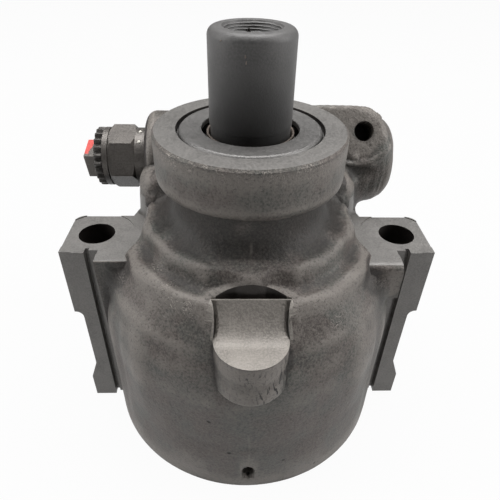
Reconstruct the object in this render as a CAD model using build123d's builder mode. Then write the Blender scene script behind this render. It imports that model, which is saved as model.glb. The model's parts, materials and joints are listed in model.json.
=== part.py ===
from build123d import *
from math import atan2, cos, degrees, hypot, pi, radians, sin, tan
import os

# Power steering pump of the balanced vane type, for a pressed-on belt pulley.
# Millimetres. The origin is on the shaft axis, at the rear rim that the pump stands on.
# +Z runs up the shaft, -Y points to the front lug, +X to the blind end of the valve bore.

# Clearances and small edges
running_clearance = 0.04
slip_clearance = 0.05
seat_clearance = 0.1
small_edge = 0.5
cutter_reach = 60.0
hex_sides = 6

# Drive shaft and its bearing
shaft_radius = 8.5
shaft_top_z = 95.8
shaft_foot_inset = 1.8
shaft_top_round = 1.6
journal_step = 0.2
pulley_seat_gap = 1.0
shaft_mouth_radius = 5.8
shaft_thread_radius = 4.2
shaft_thread_depth = 24.0
shaft_mouth_angle = 60.0
drill_point_angle = 118.0
shaft_pilot_radius = 5.4
spline_root_radius = 5.9
spline_tip_radius = 6.7
spline_count = 12
spline_width = 1.6
bushing_wall = 2.0
bushing_foot_gap = 5.9
bushing_sunk = 2.6
bushing_edge = 0.2

# Nose and shaft seal
nose_radius = 20.4
nose_face_z = 76.6
nose_length = 10.9
nose_edge = 0.5
nose_underside_round = 1.5
neck_radius = 17.5
seal_bore_radius = 15.5
seal_depth = 8.0
seal_face_gap = 0.55
seal_rim_drop = 1.3
seal_hole_radius = 10.1
seal_sheet = 1.2
seal_lip_height = 1.4

# Cast body
body_radius = 35.9
body_foot_edge = 0.6
shoulder_low_z = 29.0
shoulder_break_radius = 29.0
shoulder_break_z = 50.8
shoulder_corner_round = 3.2
ring_slope = 10.0
inner_ring_radius = 22.4
inner_ring_z = 56.3

# Mounting ears
ear_spacing = 71.7
ear_height = 50.4
ear_offset_y = -0.75
ear_front_depth = 7.75
ear_back_depth = 7.6
ear_overhang = 6.75
ear_hole_radius = 4.2
ear_spot_radius = 8.7
ear_spot_depth = 0.2
ear_cutter_radius = 12.3
ear_back_round = 2.6
ear_notch_depth = 2.0
ear_notch_low_z = 7.6
ear_notch_slope_height = 5.6
ear_notch_high_z = 32.2
ear_notch_round = 1.8
groove_width = 3.0
groove_depth = 1.0
groove_slot_width = 0.9
groove_slot_depth = 1.8
groove_inset = 1.75
root_height_left = 21.4
root_height_right = 8.8
root_front_left = 12.0
root_front_right = 14.2
root_round_right = 2.2
root_inner_x = 25.0

# Front lug
lug_radius = 7.45
lug_waist = 0.25
lug_flare = 0.45
lug_draft = 2.0
lug_front_y = -38.2
lug_top_z = 46.0
lug_low_z = 34.8
lug_foot_round = 1.5
lug_wall_y = -25.9
lug_wall_height = 5.8
lug_wall_round = 5.0
lug_crest = 0.35
lug_pocket_depth = 5.0
lug_pocket_bow = 1.0

# Valve housing across the back of the neck
valve_y = 22.0
valve_z = 59.5
valve_boss_radius = 11.8
valve_boss_left_x = -25.6
valve_boss_right_x = 37.4
valve_boss_left_round = 2.6
valve_boss_right_round = 6.0
valve_bore_radius = 8.0
valve_thread_radius = 8.8
valve_thread_depth = 12.0
valve_spot_radius = 11.0
valve_seal_seat_radius = 9.8
valve_link_radius = 4.0
block_half_width = 26.2
block_front_y = 3.6
block_back_y = 24.0
block_low_z = 44.0
block_top_z = 62.8
block_corner_round = 6.5
block_top_round = 4.5
block_draft = 5.0

# Inlet port at the back of the valve housing
inlet_x = 26.5
inlet_z = 56.5
inlet_boss_radius = 10.2
inlet_face_y = 38.2
inlet_bore_radius = 6.6
inlet_bore_depth = 16.7

# Bracket tab above the inlet
tab_x = 27.5
tab_y = 14.0
tab_z = 69.4
tab_tilt = 30.0
tab_radius = 7.1
tab_reach = 15.0
tab_thickness = 16.0
tab_hole_radius = 2.4
tab_hole_depth = 7.5
tab_hole_shift_x = 0.6
tab_hole_shift_up = 0.8

# Rear bores and the parts stacked in them
cover_bore_radius = 29.0
cover_bore_depth = 12.4
cavity_radius = 27.0
ring_groove_z = 5.0
ring_groove_extra = 1.4
retaining_ring_thickness = 2.0
retaining_ring_width = 2.9
retaining_ring_opening = 24.0
punch_hole_radius = 1.2
cover_thickness = 5.0
cover_dome_radius = 17.0
cover_dome_height = 1.5
cover_dome_slope = 45.0
disc_spring_height = 1.6
disc_spring_sheet = 0.8
disc_spring_inner_radius = 8.0
disc_spring_outer_radius = 14.0
pressure_plate_thickness = 6.4
cam_ring_width = 18.0
thrust_plate_thickness = 5.0
thrust_plate_bore_radius = 9.3
plate_recess_radius = 9.6
plate_recess_depth = 2.4
plate_port_radius = 18.6
plate_port_half_width = 1.5
plate_port_sweep = 50.0
plate_port_offset = 45.0
port_side_angle = 90.0
oil_passage_radius = 3.0
oil_passage_spread = 70.0
dowel_radius = 2.0
dowel_circle_radius = 22.8
dowel_blind_depth = 3.0
seal_cord = 1.7
seal_section_sides = 8

# Rotating group
rotor_radius = 18.0
cam_minor_radius = 18.35
cam_major_radius = 20.4
vane_count = 10
vane_first_angle = 18.0
vane_thickness = 1.8
vane_height = 7.2
vane_tip_drop = 0.1
vane_tip_round = 0.7
vane_slot_root_radius = 1.3
vane_end_gap = 0.03
rotor_end_gap = 0.02
snap_ring_thickness = 1.2
snap_ring_width = 1.6
snap_ring_groove_depth = 0.6
snap_ring_opening = 40.0

# Flow control and relief valve
spool_clearance = 0.03
spool_length = 20.0
spool_travel = 6.0
spool_land = 6.0
spool_waist_radius = 6.0
spool_bore_radius = 3.6
flow_spring_wire_radius = 0.65
flow_spring_radius = 5.9
flow_spring_turns = 3.0
relief_ball_radius = 2.2
relief_ball_lift = 0.8
relief_seat_length = 4.0
relief_seat_head = 2.0
relief_seat_head_flats = 5.6
relief_seat_hole_radius = 1.2
relief_spring_wire_radius = 0.35
relief_spring_radius = 1.6
relief_spring_turns = 5.0
relief_spring_slack = 2.4
spring_wire_sides = 4

# Outlet fitting and its plug
fitting_neck_radius = 7.4
fitting_neck_length = 2.8
fitting_hex_flats = 14.2
fitting_hex_length = 6.8
fitting_hex_turn = 12.8
fitting_collar_radius = 7.5
fitting_collar_length = 1.3
fitting_thread_length = 11.8
fitting_bore_radius = 4.7
fitting_bore_depth = 9.0
fitting_passage_radius = 2.6
fitting_seal_cord = 1.8
lock_ring_radius = 7.5
lock_ring_thickness = 2.1
lock_ring_notch_depth = 0.9
lock_ring_tooth_count = 22
hex_end_edge = 0.8
plug_hex_flats = 9.2
plug_hex_length = 3.2
plug_hex_turn = 0.0
plug_shank_length = 8.0
plug_seal_cord = 1.1

# Heights of the stack, from the rear rim up to the bottom of the cavity
cover_low_z = ring_groove_z + retaining_ring_thickness + seat_clearance
cover_top_z = cover_low_z + cover_thickness
disc_spring_top_z = cover_top_z + disc_spring_height
pressure_plate_top_z = disc_spring_top_z + pressure_plate_thickness
cam_ring_top_z = pressure_plate_top_z + cam_ring_width
cavity_top_z = cam_ring_top_z + thrust_plate_thickness
nose_low_z = nose_face_z - nose_length
seal_low_z = nose_face_z - seal_depth
journal_radius = shaft_radius - journal_step
bushing_radius = journal_radius + running_clearance + bushing_wall
bushing_top_z = seal_low_z - bushing_sunk
bushing_low_z = cavity_top_z + bushing_foot_gap
bushing_length = bushing_top_z - bushing_low_z
shaft_low_z = disc_spring_top_z + shaft_foot_inset
stack_radius = cavity_radius - slip_clearance
ear_x = ear_spacing / 2
ear_front_y = ear_offset_y - ear_front_depth
ear_back_y = ear_offset_y + ear_back_depth
ear_outer_x = ear_x + ear_overhang
groove_inner_x = ear_x - groove_inset
rotor_low_z = pressure_plate_top_z + rotor_end_gap
rotor_width = cam_ring_width - 2 * rotor_end_gap
fitting_hex_x = valve_boss_left_x - fitting_neck_length
fitting_collar_x = fitting_hex_x - fitting_hex_length
lock_ring_x = fitting_collar_x - fitting_collar_length
plug_hex_x = lock_ring_x - lock_ring_thickness
spool_x = valve_boss_left_x + fitting_thread_length + seat_clearance
spool_end_x = spool_x + spool_length
flow_spring_solid = 2 * flow_spring_wire_radius * (flow_spring_turns + 1)
valve_bore_end_x = spool_end_x + spool_travel + flow_spring_solid
seat_contact = (relief_ball_radius**2 - relief_seat_hole_radius**2) ** 0.5
relief_ball_x = spool_end_x - relief_seat_length - seat_contact - running_clearance
relief_spring_end_x = (
    relief_ball_x - (relief_ball_radius**2 - relief_spring_radius**2) ** 0.5 - seat_clearance
)
relief_spring_solid = 2 * relief_spring_wire_radius * (relief_spring_turns + 1)
relief_spring_start_x = (
    relief_spring_end_x - relief_spring_solid - relief_ball_lift - relief_spring_slack
)
spool_bore_end_x = relief_spring_start_x - slip_clearance


def across(x):
    """Plane square to the valve bore at x, with its first direction along +Y."""
    return Plane(origin=(x, valve_y, valve_z), x_dir=(0, 1, 0), z_dir=(1, 0, 0))


def squeezed_ring(radius, cord, plane):
    """Rubber ring as it lies squeezed in its groove: a section with flats, turned about the plane's axis."""
    with BuildPart() as ring:
        with BuildSketch(Plane(origin=plane.origin, x_dir=plane.x_dir, z_dir=plane.y_dir)):
            with Locations((radius, 0)):
                RegularPolygon(
                    cord / 2,
                    seal_section_sides,
                    major_radius=False,
                    rotation=180 / seal_section_sides,
                )
        revolve(axis=Axis(plane.origin, plane.z_dir))
    return ring.part


os.makedirs("parts", exist_ok=True)


# Blank of one ear: its notched front outline, kept inside its plan with a rounded back corner
with BuildPart() as ear:
    with BuildSketch(Plane.XZ.offset(-ear_back_y)) as ear_outline:
        with BuildLine():
            Polyline(
                (neck_radius, 0),
                (ear_outer_x, 0),
                (ear_outer_x, ear_notch_low_z),
                (ear_outer_x - ear_notch_depth, ear_notch_low_z + ear_notch_slope_height),
                (ear_outer_x - ear_notch_depth, ear_notch_high_z),
                (ear_outer_x, ear_notch_high_z),
                (ear_outer_x, ear_height),
                (neck_radius, ear_height),
                (neck_radius, 0),
            )
        make_face()
        notch_x = ear_outer_x - ear_notch_depth
        fillet(
            ear_outline.vertices().filter_by_position(Axis.X, notch_x - small_edge, notch_x + small_edge),
            ear_notch_round,
        )
    extrude(amount=ear_front_depth + ear_back_depth)
    with BuildSketch() as ear_plan:
        with BuildLine():
            Polyline(
                (neck_radius, ear_front_y),
                (ear_outer_x, ear_front_y),
                (ear_outer_x, ear_back_y),
                (neck_radius, ear_back_y),
                (neck_radius, ear_front_y),
            )
        make_face()
        outer_corners = ear_plan.vertices().group_by(Axis.X)[-1]
        fillet(outer_corners.sort_by(Axis.Y)[-1], ear_back_round)
    extrude(amount=ear_height, mode=Mode.INTERSECT)

# Cast masses at the roots of the ears, under the machined tops
with BuildPart() as ear_roots:
    for side, front, root_height, round_radius in (
        (-1, root_front_left, root_height_left, small_edge),
        (1, root_front_right, root_height_right, root_round_right),
    ):
        with BuildSketch(Plane.XY.offset(ear_height - root_height)):
            with BuildLine():
                Polyline(
                    (side * neck_radius, ear_offset_y),
                    (side * root_inner_x, -front),
                    (side * ear_x, -front),
                    (side * ear_x, ear_offset_y),
                    (side * neck_radius, ear_offset_y),
                )
            make_face()
        extrude(amount=root_height)
        front_top_edge = ear_roots.edges().filter_by(Axis.X).sort_by(
            lambda edge: (edge.center() - Vector(side * ear_x, -front, ear_height)).length
        )[0]
        fillet(front_top_edge, round_radius)

# Plan of the space over the lug: a half-round front, a slight waist and sides that flare at the wall
lug_middle_y = lug_front_y + lug_radius
lug_waist_y = (lug_middle_y + lug_wall_y) / 2
lug_crest_x = lug_radius + lug_flare
with BuildSketch() as lug_plan:
    with BuildLine():
        ThreePointArc((-lug_radius, lug_middle_y), (0, lug_front_y), (lug_radius, lug_middle_y))
        ThreePointArc(
            (lug_radius, lug_middle_y),
            (lug_radius - lug_waist, lug_waist_y),
            (lug_crest_x, lug_wall_y),
        )
        Polyline(
            (lug_crest_x, lug_wall_y),
            (lug_crest_x, lug_wall_y + lug_crest),
            (-lug_crest_x, lug_wall_y + lug_crest),
            (-lug_crest_x, lug_wall_y),
        )
        ThreePointArc(
            (-lug_crest_x, lug_wall_y),
            (lug_waist - lug_radius, lug_waist_y),
            (-lug_radius, lug_middle_y),
        )
    make_face()

# Front lug blank: half round in plan, a little wider at its foot
lug_length = lug_wall_y - lug_front_y
with BuildPart() as lug:
    with BuildSketch(Plane.XY.offset(lug_top_z)):
        with Locations((0, lug_front_y + lug_length)):
            SlotOverall(2 * lug_length, 2 * lug_radius, rotation=90)
    extrude(amount=lug_low_z - lug_top_z, taper=-lug_draft)
    lug_foot_edges = lug.faces().sort_by(Axis.Z)[0].edges()
    fillet(lug_foot_edges.sort_by_distance((0, lug_front_y, lug_low_z))[0], lug_foot_round)

# Space over the lug: its flat rises to the wall in one large round
with BuildPart() as lug_space:
    with BuildSketch(Plane.YZ.offset(-lug_crest_x)) as lug_cut:
        with BuildLine():
            Polyline(
                (lug_front_y - lug_radius, lug_top_z),
                (lug_wall_y, lug_top_z),
                (lug_wall_y, lug_top_z + cutter_reach),
                (lug_front_y - lug_radius, lug_top_z + cutter_reach),
                (lug_front_y - lug_radius, lug_top_z),
            )
        make_face()
        fillet(
            lug_cut.vertices().sort_by_distance((-lug_crest_x, lug_wall_y, lug_top_z))[0],
            lug_wall_round,
        )
    extrude(amount=2 * lug_crest_x)
    with BuildSketch(Plane.XY.offset(lug_top_z)):
        add(lug_plan.sketch)
    extrude(amount=cutter_reach, mode=Mode.INTERSECT)

# Block between the neck and the valve housing, with a rounded top
block_height = block_top_z - block_low_z
block_grow = block_height * tan(radians(block_draft))
with BuildPart() as block:
    with BuildSketch(Plane.XY.offset(block_low_z)):
        with Locations((0, (block_front_y + block_back_y) / 2)):
            RectangleRounded(
                2 * (block_half_width + block_grow),
                block_back_y - block_front_y + 2 * block_grow,
                block_corner_round + block_grow,
            )
    extrude(amount=block_height, taper=block_draft)
    fillet(block.faces().sort_by(Axis.Z)[-1].edges(), block_top_round)

# Valve housing: a round boss across the back, its blind end well rounded
with BuildPart() as valve_boss:
    with BuildSketch(Plane.XY.offset(valve_z)) as boss_half:
        with BuildLine():
            Polyline(
                (valve_boss_left_x, valve_y),
                (valve_boss_left_x, valve_y + valve_boss_radius),
                (valve_boss_right_x, valve_y + valve_boss_radius),
                (valve_boss_right_x, valve_y),
                (valve_boss_left_x, valve_y),
            )
        make_face()
        outer_corners = boss_half.vertices().group_by(Axis.Y)[-1].sort_by(Axis.X)
        fillet(outer_corners[0], valve_boss_left_round)
        outer_corners = boss_half.vertices().group_by(Axis.Y)[-1].sort_by(Axis.X)
        fillet(outer_corners[-1], valve_boss_right_round)
    revolve(axis=Axis((0, valve_y, valve_z), (1, 0, 0)))

# Housing: one iron casting with nose, neck, two ears, front lug, valve housing and tab
shoulder_turn = 2 * degrees(
    atan2(body_radius - shoulder_break_radius, shoulder_break_z - shoulder_low_z)
)
ring_rise = sin(radians(ring_slope))
ring_run = cos(radians(ring_slope))
neck_foot_z = inner_ring_z + (inner_ring_radius - neck_radius) * ring_run / (1 - ring_rise)
tab_normal = Vector(0, -cos(radians(tab_tilt)), sin(radians(tab_tilt)))
tab_face = Plane(origin=(tab_x, tab_y, tab_z), x_dir=(1, 0, 0), z_dir=tab_normal)

with BuildPart() as housing:
    # Turned outline of the body, shoulder rings, neck and nose
    with BuildSketch(Plane.XZ):
        with BuildLine():
            wall = Polyline(
                (0, 0),
                (body_radius - body_foot_edge, 0),
                (body_radius, body_foot_edge),
                (body_radius, shoulder_low_z),
            )
            shoulder = TangentArc(
                wall @ 1,
                (shoulder_break_radius, shoulder_break_z),
                tangent=(0, 1),
            )
            corner = JernArc(
                shoulder @ 1,
                shoulder % 1,
                shoulder_corner_round,
                90 - ring_slope - shoulder_turn,
            )
            step_middle = (corner @ 1 + Vector(inner_ring_radius, inner_ring_z)) / 2
            hollow = TangentArc(corner @ 1, step_middle, tangent=corner % 1)
            step = TangentArc(hollow @ 1, (inner_ring_radius, inner_ring_z), tangent=hollow % 1)
            flare = TangentArc(step @ 1, (neck_radius, neck_foot_z), tangent=step % 1)
            Polyline(
                flare @ 1,
                (neck_radius, nose_low_z),
                (nose_radius - nose_edge, nose_low_z),
                (nose_radius, nose_low_z + nose_edge),
                (nose_radius, nose_face_z - nose_edge),
                (nose_radius - nose_edge, nose_face_z),
                (0, nose_face_z),
                (0, 0),
            )
        make_face()
    revolve(axis=Axis.Z)

    # Ears, the masses at their roots, the block and the valve housing
    add(ear.part)
    add(ear.part.mirror(Plane.YZ))
    add(ear_roots.part)
    add(block.part)
    add(valve_boss.part)

    # Inlet boss, facing the rear
    with BuildSketch(Plane.XZ.offset(-inlet_face_y)):
        with Locations((inlet_x, inlet_z)):
            Circle(inlet_boss_radius)
    extrude(amount=inlet_face_y - valve_y)

    # Bracket tab, tilted up to the front and joined to the nose by its own web
    with BuildSketch(tab_face):
        with Locations((-tab_reach / 2, 0)):
            SlotCenterToCenter(tab_reach, 2 * tab_radius)
    extrude(amount=-tab_thickness)

    # Front lug: a half-round boss that runs back into the shoulder
    add(lug.part)
    add(lug_space.part, mode=Mode.SUBTRACT)
    with BuildSketch(Plane.XY.offset(lug_top_z + lug_wall_height - lug_pocket_depth)):
        with BuildLine():
            Line((-lug_crest_x, lug_wall_y + lug_crest), (lug_crest_x, lug_wall_y + lug_crest))
            ThreePointArc(
                (lug_crest_x, lug_wall_y + lug_crest),
                (0, lug_wall_y + lug_crest + lug_pocket_bow),
                (-lug_crest_x, lug_wall_y + lug_crest),
            )
        make_face()
    extrude(amount=cutter_reach, mode=Mode.SUBTRACT)
    with BuildSketch(Plane.XY.offset(lug_top_z + lug_wall_height)):
        with Locations((0, lug_wall_y + lug_crest / 2)):
            Rectangle(2 * lug_crest_x, lug_crest)
    extrude(amount=cutter_reach, mode=Mode.SUBTRACT)

    # Machined tops of the ears, with a spot face and a through hole each
    for side in (-1, 1):
        with BuildSketch(Plane.XY.offset(ear_height)):
            with Locations((side * ear_x, ear_offset_y)):
                Circle(ear_cutter_radius)
        extrude(amount=cutter_reach, mode=Mode.SUBTRACT)
        with BuildSketch(Plane.XY.offset(ear_height - ear_spot_depth)):
            with Locations((side * ear_x, ear_offset_y)):
                Circle(ear_spot_radius)
        extrude(amount=cutter_reach, mode=Mode.SUBTRACT)
        with Locations((side * ear_x, ear_offset_y, ear_height)):
            Hole(ear_hole_radius)

    # Milled fronts of the ears, with a relief groove beside the cast wall
    for side in (-1, 1):
        with BuildSketch(Plane.XY):
            with Locations((side * (groove_inner_x + groove_width), ear_front_y)):
                Rectangle(
                    cutter_reach,
                    cutter_reach,
                    align=(Align.MIN if side > 0 else Align.MAX, Align.MAX),
                )
            with Locations((side * groove_inner_x, ear_front_y + groove_depth)):
                Rectangle(
                    groove_width,
                    cutter_reach,
                    align=(Align.MIN if side > 0 else Align.MAX, Align.MAX),
                )
            with Locations((side * (groove_inner_x + groove_width), ear_front_y + groove_slot_depth)):
                Rectangle(
                    groove_slot_width,
                    cutter_reach,
                    align=(Align.MAX if side > 0 else Align.MIN, Align.MAX),
                )
        extrude(amount=nose_face_z, mode=Mode.SUBTRACT)

    # Bores on the shaft axis, from the rear
    with BuildSketch(Plane.XZ):
        with BuildLine():
            Polyline(
                (0, 0),
                (cover_bore_radius + small_edge, 0),
                (cover_bore_radius, small_edge),
                (cover_bore_radius, ring_groove_z),
                (cover_bore_radius + ring_groove_extra, ring_groove_z),
                (cover_bore_radius + ring_groove_extra, cover_low_z),
                (cover_bore_radius, cover_low_z),
                (cover_bore_radius, cover_bore_depth),
                (cavity_radius, cover_bore_depth),
                (cavity_radius, cavity_top_z),
                (thrust_plate_bore_radius, cavity_top_z),
                (thrust_plate_bore_radius, bushing_low_z),
                (bushing_radius, bushing_low_z),
                (bushing_radius, seal_low_z),
                (seal_bore_radius, seal_low_z),
                (seal_bore_radius, nose_face_z),
                (0, nose_face_z),
                (0, 0),
            )
        make_face()
    revolve(axis=Axis.Z, mode=Mode.SUBTRACT)
    with Locations(
        (dowel_circle_radius, 0, cavity_top_z),
        (-dowel_circle_radius, 0, cavity_top_z),
    ):
        Cylinder(
            dowel_radius,
            dowel_blind_depth,
            align=(Align.CENTER, Align.CENTER, Align.MIN),
            mode=Mode.SUBTRACT,
        )

    # Punch hole that reaches the retaining ring from the front
    with BuildSketch(Plane.XZ.offset(cover_bore_radius)):
        with Locations((0, ring_groove_z + retaining_ring_thickness / 2)):
            Circle(punch_hole_radius)
    extrude(amount=body_radius, mode=Mode.SUBTRACT)

    # Valve bore, its threaded mouth and the link to the inlet
    with BuildSketch(across(valve_boss_left_x)):
        Circle(valve_bore_radius)
    extrude(amount=valve_bore_end_x - valve_boss_left_x, mode=Mode.SUBTRACT)
    with BuildSketch(across(valve_boss_left_x)):
        Circle(valve_thread_radius)
    extrude(amount=valve_thread_depth, mode=Mode.SUBTRACT)
    with BuildSketch(across(valve_boss_left_x)):
        Circle(valve_seal_seat_radius)
    extrude(amount=fitting_seal_cord, mode=Mode.SUBTRACT)
    with BuildSketch(across(valve_boss_left_x)):
        Circle(valve_spot_radius)
    extrude(amount=-valve_boss_radius, mode=Mode.SUBTRACT)
    with BuildSketch(across(valve_bore_end_x)):
        Circle(valve_link_radius)
    extrude(amount=inlet_x - valve_bore_end_x, mode=Mode.SUBTRACT)
    with BuildSketch(Plane.XZ.offset(-inlet_face_y)):
        with Locations((inlet_x, inlet_z)):
            Circle(inlet_bore_radius)
    extrude(amount=inlet_bore_depth, mode=Mode.SUBTRACT)

    # Oil passages from the thrust plate up into the valve bore
    with BuildSketch(Plane.XY.offset(cavity_top_z)):
        with PolarLocations(
            plate_port_radius,
            2,
            start_angle=port_side_angle - oil_passage_spread / 2,
            angular_range=oil_passage_spread,
            endpoint=True,
        ):
            Circle(oil_passage_radius)
    extrude(amount=valve_z - cavity_top_z, mode=Mode.SUBTRACT)

    # Blind tapped hole in the tab
    tab_drill = Plane(
        origin=tab_face.from_local_coords((tab_hole_shift_x, tab_hole_shift_up, 0)),
        x_dir=(1, 0, 0),
        z_dir=tab_normal,
    )
    with BuildSketch(tab_drill):
        Circle(tab_hole_radius)
    extrude(amount=-tab_hole_depth, mode=Mode.SUBTRACT)

    # Cast blend between the neck and the underside of the nose
    neck_corner = (0, -neck_radius, nose_low_z)
    fillet(housing.edges().sort_by_distance(neck_corner)[0], nose_underside_round)

housing.part.label = "housing"
export_step(housing.part, "parts/housing.step")

# Drive shaft: top with a rounded rim and tapped bore, splined end and rear pilot
spline_low_z = pressure_plate_top_z
spline_high_z = cam_ring_top_z
pilot_top_z = spline_low_z - plate_recess_depth
with BuildPart() as drive_shaft:
    with BuildSketch(Plane.XZ):
        with BuildLine():
            Polyline(
                (0, shaft_low_z),
                (shaft_pilot_radius - small_edge, shaft_low_z),
                (shaft_pilot_radius, shaft_low_z + small_edge),
                (shaft_pilot_radius, pilot_top_z),
                (spline_tip_radius, pilot_top_z),
                (spline_tip_radius, spline_high_z),
                (journal_radius, spline_high_z + journal_radius - spline_tip_radius),
                (journal_radius, nose_face_z + pulley_seat_gap),
                (shaft_radius, nose_face_z + pulley_seat_gap),
                (shaft_radius, shaft_top_z),
                (0, shaft_top_z),
                (0, shaft_low_z),
            )
        make_face()
    revolve(axis=Axis.Z)
    fillet(drive_shaft.edges().filter_by(GeomType.CIRCLE).sort_by(Axis.Z)[-1], shaft_top_round)
    mouth_depth = (shaft_mouth_radius - shaft_thread_radius) / tan(radians(shaft_mouth_angle / 2))
    point_depth = shaft_thread_radius / tan(radians(drill_point_angle / 2))
    with BuildSketch(Plane.XZ):
        with BuildLine():
            Polyline(
                (0, shaft_top_z),
                (shaft_mouth_radius, shaft_top_z),
                (shaft_thread_radius, shaft_top_z - mouth_depth),
                (shaft_thread_radius, shaft_top_z - shaft_thread_depth),
                (0, shaft_top_z - shaft_thread_depth - point_depth),
                (0, shaft_top_z),
            )
        make_face()
    revolve(axis=Axis.Z, mode=Mode.SUBTRACT)
    # Grooves between the spline teeth
    with BuildSketch(Plane.XY.offset(pilot_top_z)):
        Circle(spline_tip_radius + small_edge)
        Circle(spline_root_radius, mode=Mode.SUBTRACT)
        with PolarLocations(spline_root_radius, spline_count):
            Rectangle(2 * spline_root_radius, spline_width, mode=Mode.SUBTRACT)
    extrude(amount=spline_high_z - pilot_top_z, mode=Mode.SUBTRACT)
    # Groove of the snap ring under the rotor
    snap_ring_top_z = spline_low_z - seat_clearance
    with BuildSketch(Plane.XY.offset(snap_ring_top_z - snap_ring_thickness - seat_clearance)):
        Circle(spline_tip_radius + small_edge)
        Circle(spline_root_radius - snap_ring_groove_depth, mode=Mode.SUBTRACT)
    extrude(amount=snap_ring_thickness + 2 * seat_clearance, mode=Mode.SUBTRACT)

drive_shaft.part.label = "drive_shaft"
export_step(drive_shaft.part, "parts/drive_shaft.step")

# Snap ring that holds the rotor up on the shaft
snap_inner_radius = spline_root_radius - snap_ring_groove_depth + slip_clearance
with BuildPart() as rotor_snap_ring:
    with BuildSketch(Plane.XY.offset(snap_ring_top_z - snap_ring_thickness)):
        Circle(snap_inner_radius + snap_ring_width)
        Circle(snap_inner_radius, mode=Mode.SUBTRACT)
        snap_opening_width = 2 * snap_inner_radius * sin(radians(snap_ring_opening / 2))
        with Locations((0, -shaft_radius / 2)):
            Rectangle(snap_opening_width, shaft_radius, mode=Mode.SUBTRACT)
    extrude(amount=snap_ring_thickness)

rotor_snap_ring.part.label = "rotor_snap_ring"
export_step(rotor_snap_ring.part, "parts/rotor_snap_ring.step")

# Front bushing, pressed into the casting
with BuildPart() as front_bushing:
    with BuildSketch(Plane.XY.offset(bushing_low_z)):
        Circle(bushing_radius)
        Circle(journal_radius + running_clearance, mode=Mode.SUBTRACT)
    extrude(amount=bushing_length)
    chamfer(front_bushing.edges().filter_by(GeomType.CIRCLE), bushing_edge)

front_bushing.part.label = "front_bushing"
export_step(front_bushing.part, "parts/front_bushing.step")

# Shaft seal: a pressed steel case whose flat top is flush with the nose face
case_rim_z = nose_face_z - seal_rim_drop
case_wall_radius = seal_bore_radius - seal_sheet
with BuildPart() as seal_case:
    with BuildSketch(Plane.XZ):
        with BuildLine():
            Polyline(
                (seal_hole_radius, nose_face_z),
                (seal_bore_radius - seal_face_gap - small_edge, nose_face_z),
                (seal_bore_radius - seal_face_gap, nose_face_z - small_edge),
                (seal_bore_radius - seal_face_gap, case_rim_z),
                (seal_bore_radius, case_rim_z),
                (seal_bore_radius, seal_low_z),
                (case_wall_radius, seal_low_z),
                (case_wall_radius, nose_face_z - seal_sheet),
                (seal_hole_radius, nose_face_z - seal_sheet),
                (seal_hole_radius, nose_face_z),
            )
        make_face()
    revolve(axis=Axis.Z)

seal_case.part.label = "seal_case"
export_step(seal_case.part, "parts/seal_case.step")

# Rubber lip of the seal, bonded inside the case and closing on the shaft
lip_top_z = nose_face_z - seal_sheet - seal_lip_height
lip_radius = journal_radius + running_clearance
garter_major_radius = lip_radius + seal_cord + seal_sheet / 2
garter_z = (seal_low_z + lip_top_z) / 2
with BuildPart() as seal_lip:
    with BuildSketch(Plane.XZ):
        with BuildLine():
            Polyline(
                (case_wall_radius, seal_low_z),
                (case_wall_radius, lip_top_z),
                (case_wall_radius - seal_sheet, lip_top_z),
                (case_wall_radius - seal_sheet, seal_low_z + 2 * seal_sheet),
                (garter_major_radius, seal_low_z + 2 * seal_sheet),
                (lip_radius + seal_sheet, lip_top_z),
                (lip_radius + small_edge / 2, lip_top_z),
                (lip_radius, lip_top_z - small_edge),
                (lip_radius, garter_z),
                (lip_radius + 2 * seal_sheet, seal_low_z),
                (case_wall_radius, seal_low_z),
            )
        make_face()
    revolve(axis=Axis.Z)

seal_lip.part.label = "seal_lip"
export_step(seal_lip.part, "parts/seal_lip.step")

# Garter spring that holds the lip on the shaft
garter_slope = (garter_major_radius - lip_radius - seal_sheet) / (lip_top_z - seal_low_z - 2 * seal_sheet)
garter_radius = seal_cord / 2 - running_clearance
garter_low_z = seal_low_z + 2 * seal_sheet + garter_radius + slip_clearance
garter_wall_radius = garter_major_radius - garter_slope * (garter_low_z - seal_low_z - 2 * seal_sheet)
garter_offset = (garter_radius + slip_clearance) * hypot(1, garter_slope)
garter_spring = squeezed_ring(
    garter_wall_radius + garter_offset,
    2 * garter_radius * cos(pi / seal_section_sides),
    Plane.XY.offset(garter_low_z),
)
garter_spring.label = "garter_spring"
export_step(garter_spring, "parts/garter_spring.step")


def port_slots(radius, half_width, sweep):
    """Pair of curved port slots on the suction and delivery sides, as a sketch."""
    with BuildSketch() as ports:
        for middle in (
            port_side_angle - plate_port_offset,
            port_side_angle + plate_port_offset,
            port_side_angle + 180 - plate_port_offset,
            port_side_angle + 180 + plate_port_offset,
        ):
            SlotArc(
                CenterArc((0, 0), radius, middle - sweep / 2, sweep, mode=Mode.PRIVATE),
                2 * half_width,
            )
    return ports.sketch


# Thrust plate under the casting, with four curved ports
with BuildPart() as thrust_plate:
    with BuildSketch(Plane.XY.offset(cam_ring_top_z)):
        Circle(stack_radius)
        Circle(thrust_plate_bore_radius, mode=Mode.SUBTRACT)
        with Locations((dowel_circle_radius, 0), (-dowel_circle_radius, 0)):
            Circle(dowel_radius, mode=Mode.SUBTRACT)
        add(port_slots(plate_port_radius, plate_port_half_width, plate_port_sweep), mode=Mode.SUBTRACT)
    extrude(amount=thrust_plate_thickness)

thrust_plate.part.label = "thrust_plate"
export_step(thrust_plate.part, "parts/thrust_plate.step")

# Cam ring: round outside, two-lobed inside
with BuildPart() as cam_ring:
    with BuildSketch(Plane.XY.offset(pressure_plate_top_z)):
        Circle(stack_radius)
        Ellipse(cam_minor_radius, cam_major_radius, mode=Mode.SUBTRACT)
        with Locations((dowel_circle_radius, 0), (-dowel_circle_radius, 0)):
            Circle(dowel_radius, mode=Mode.SUBTRACT)
    extrude(amount=cam_ring_width)

cam_ring.part.label = "cam_ring"
export_step(cam_ring.part, "parts/cam_ring.step")

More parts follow.
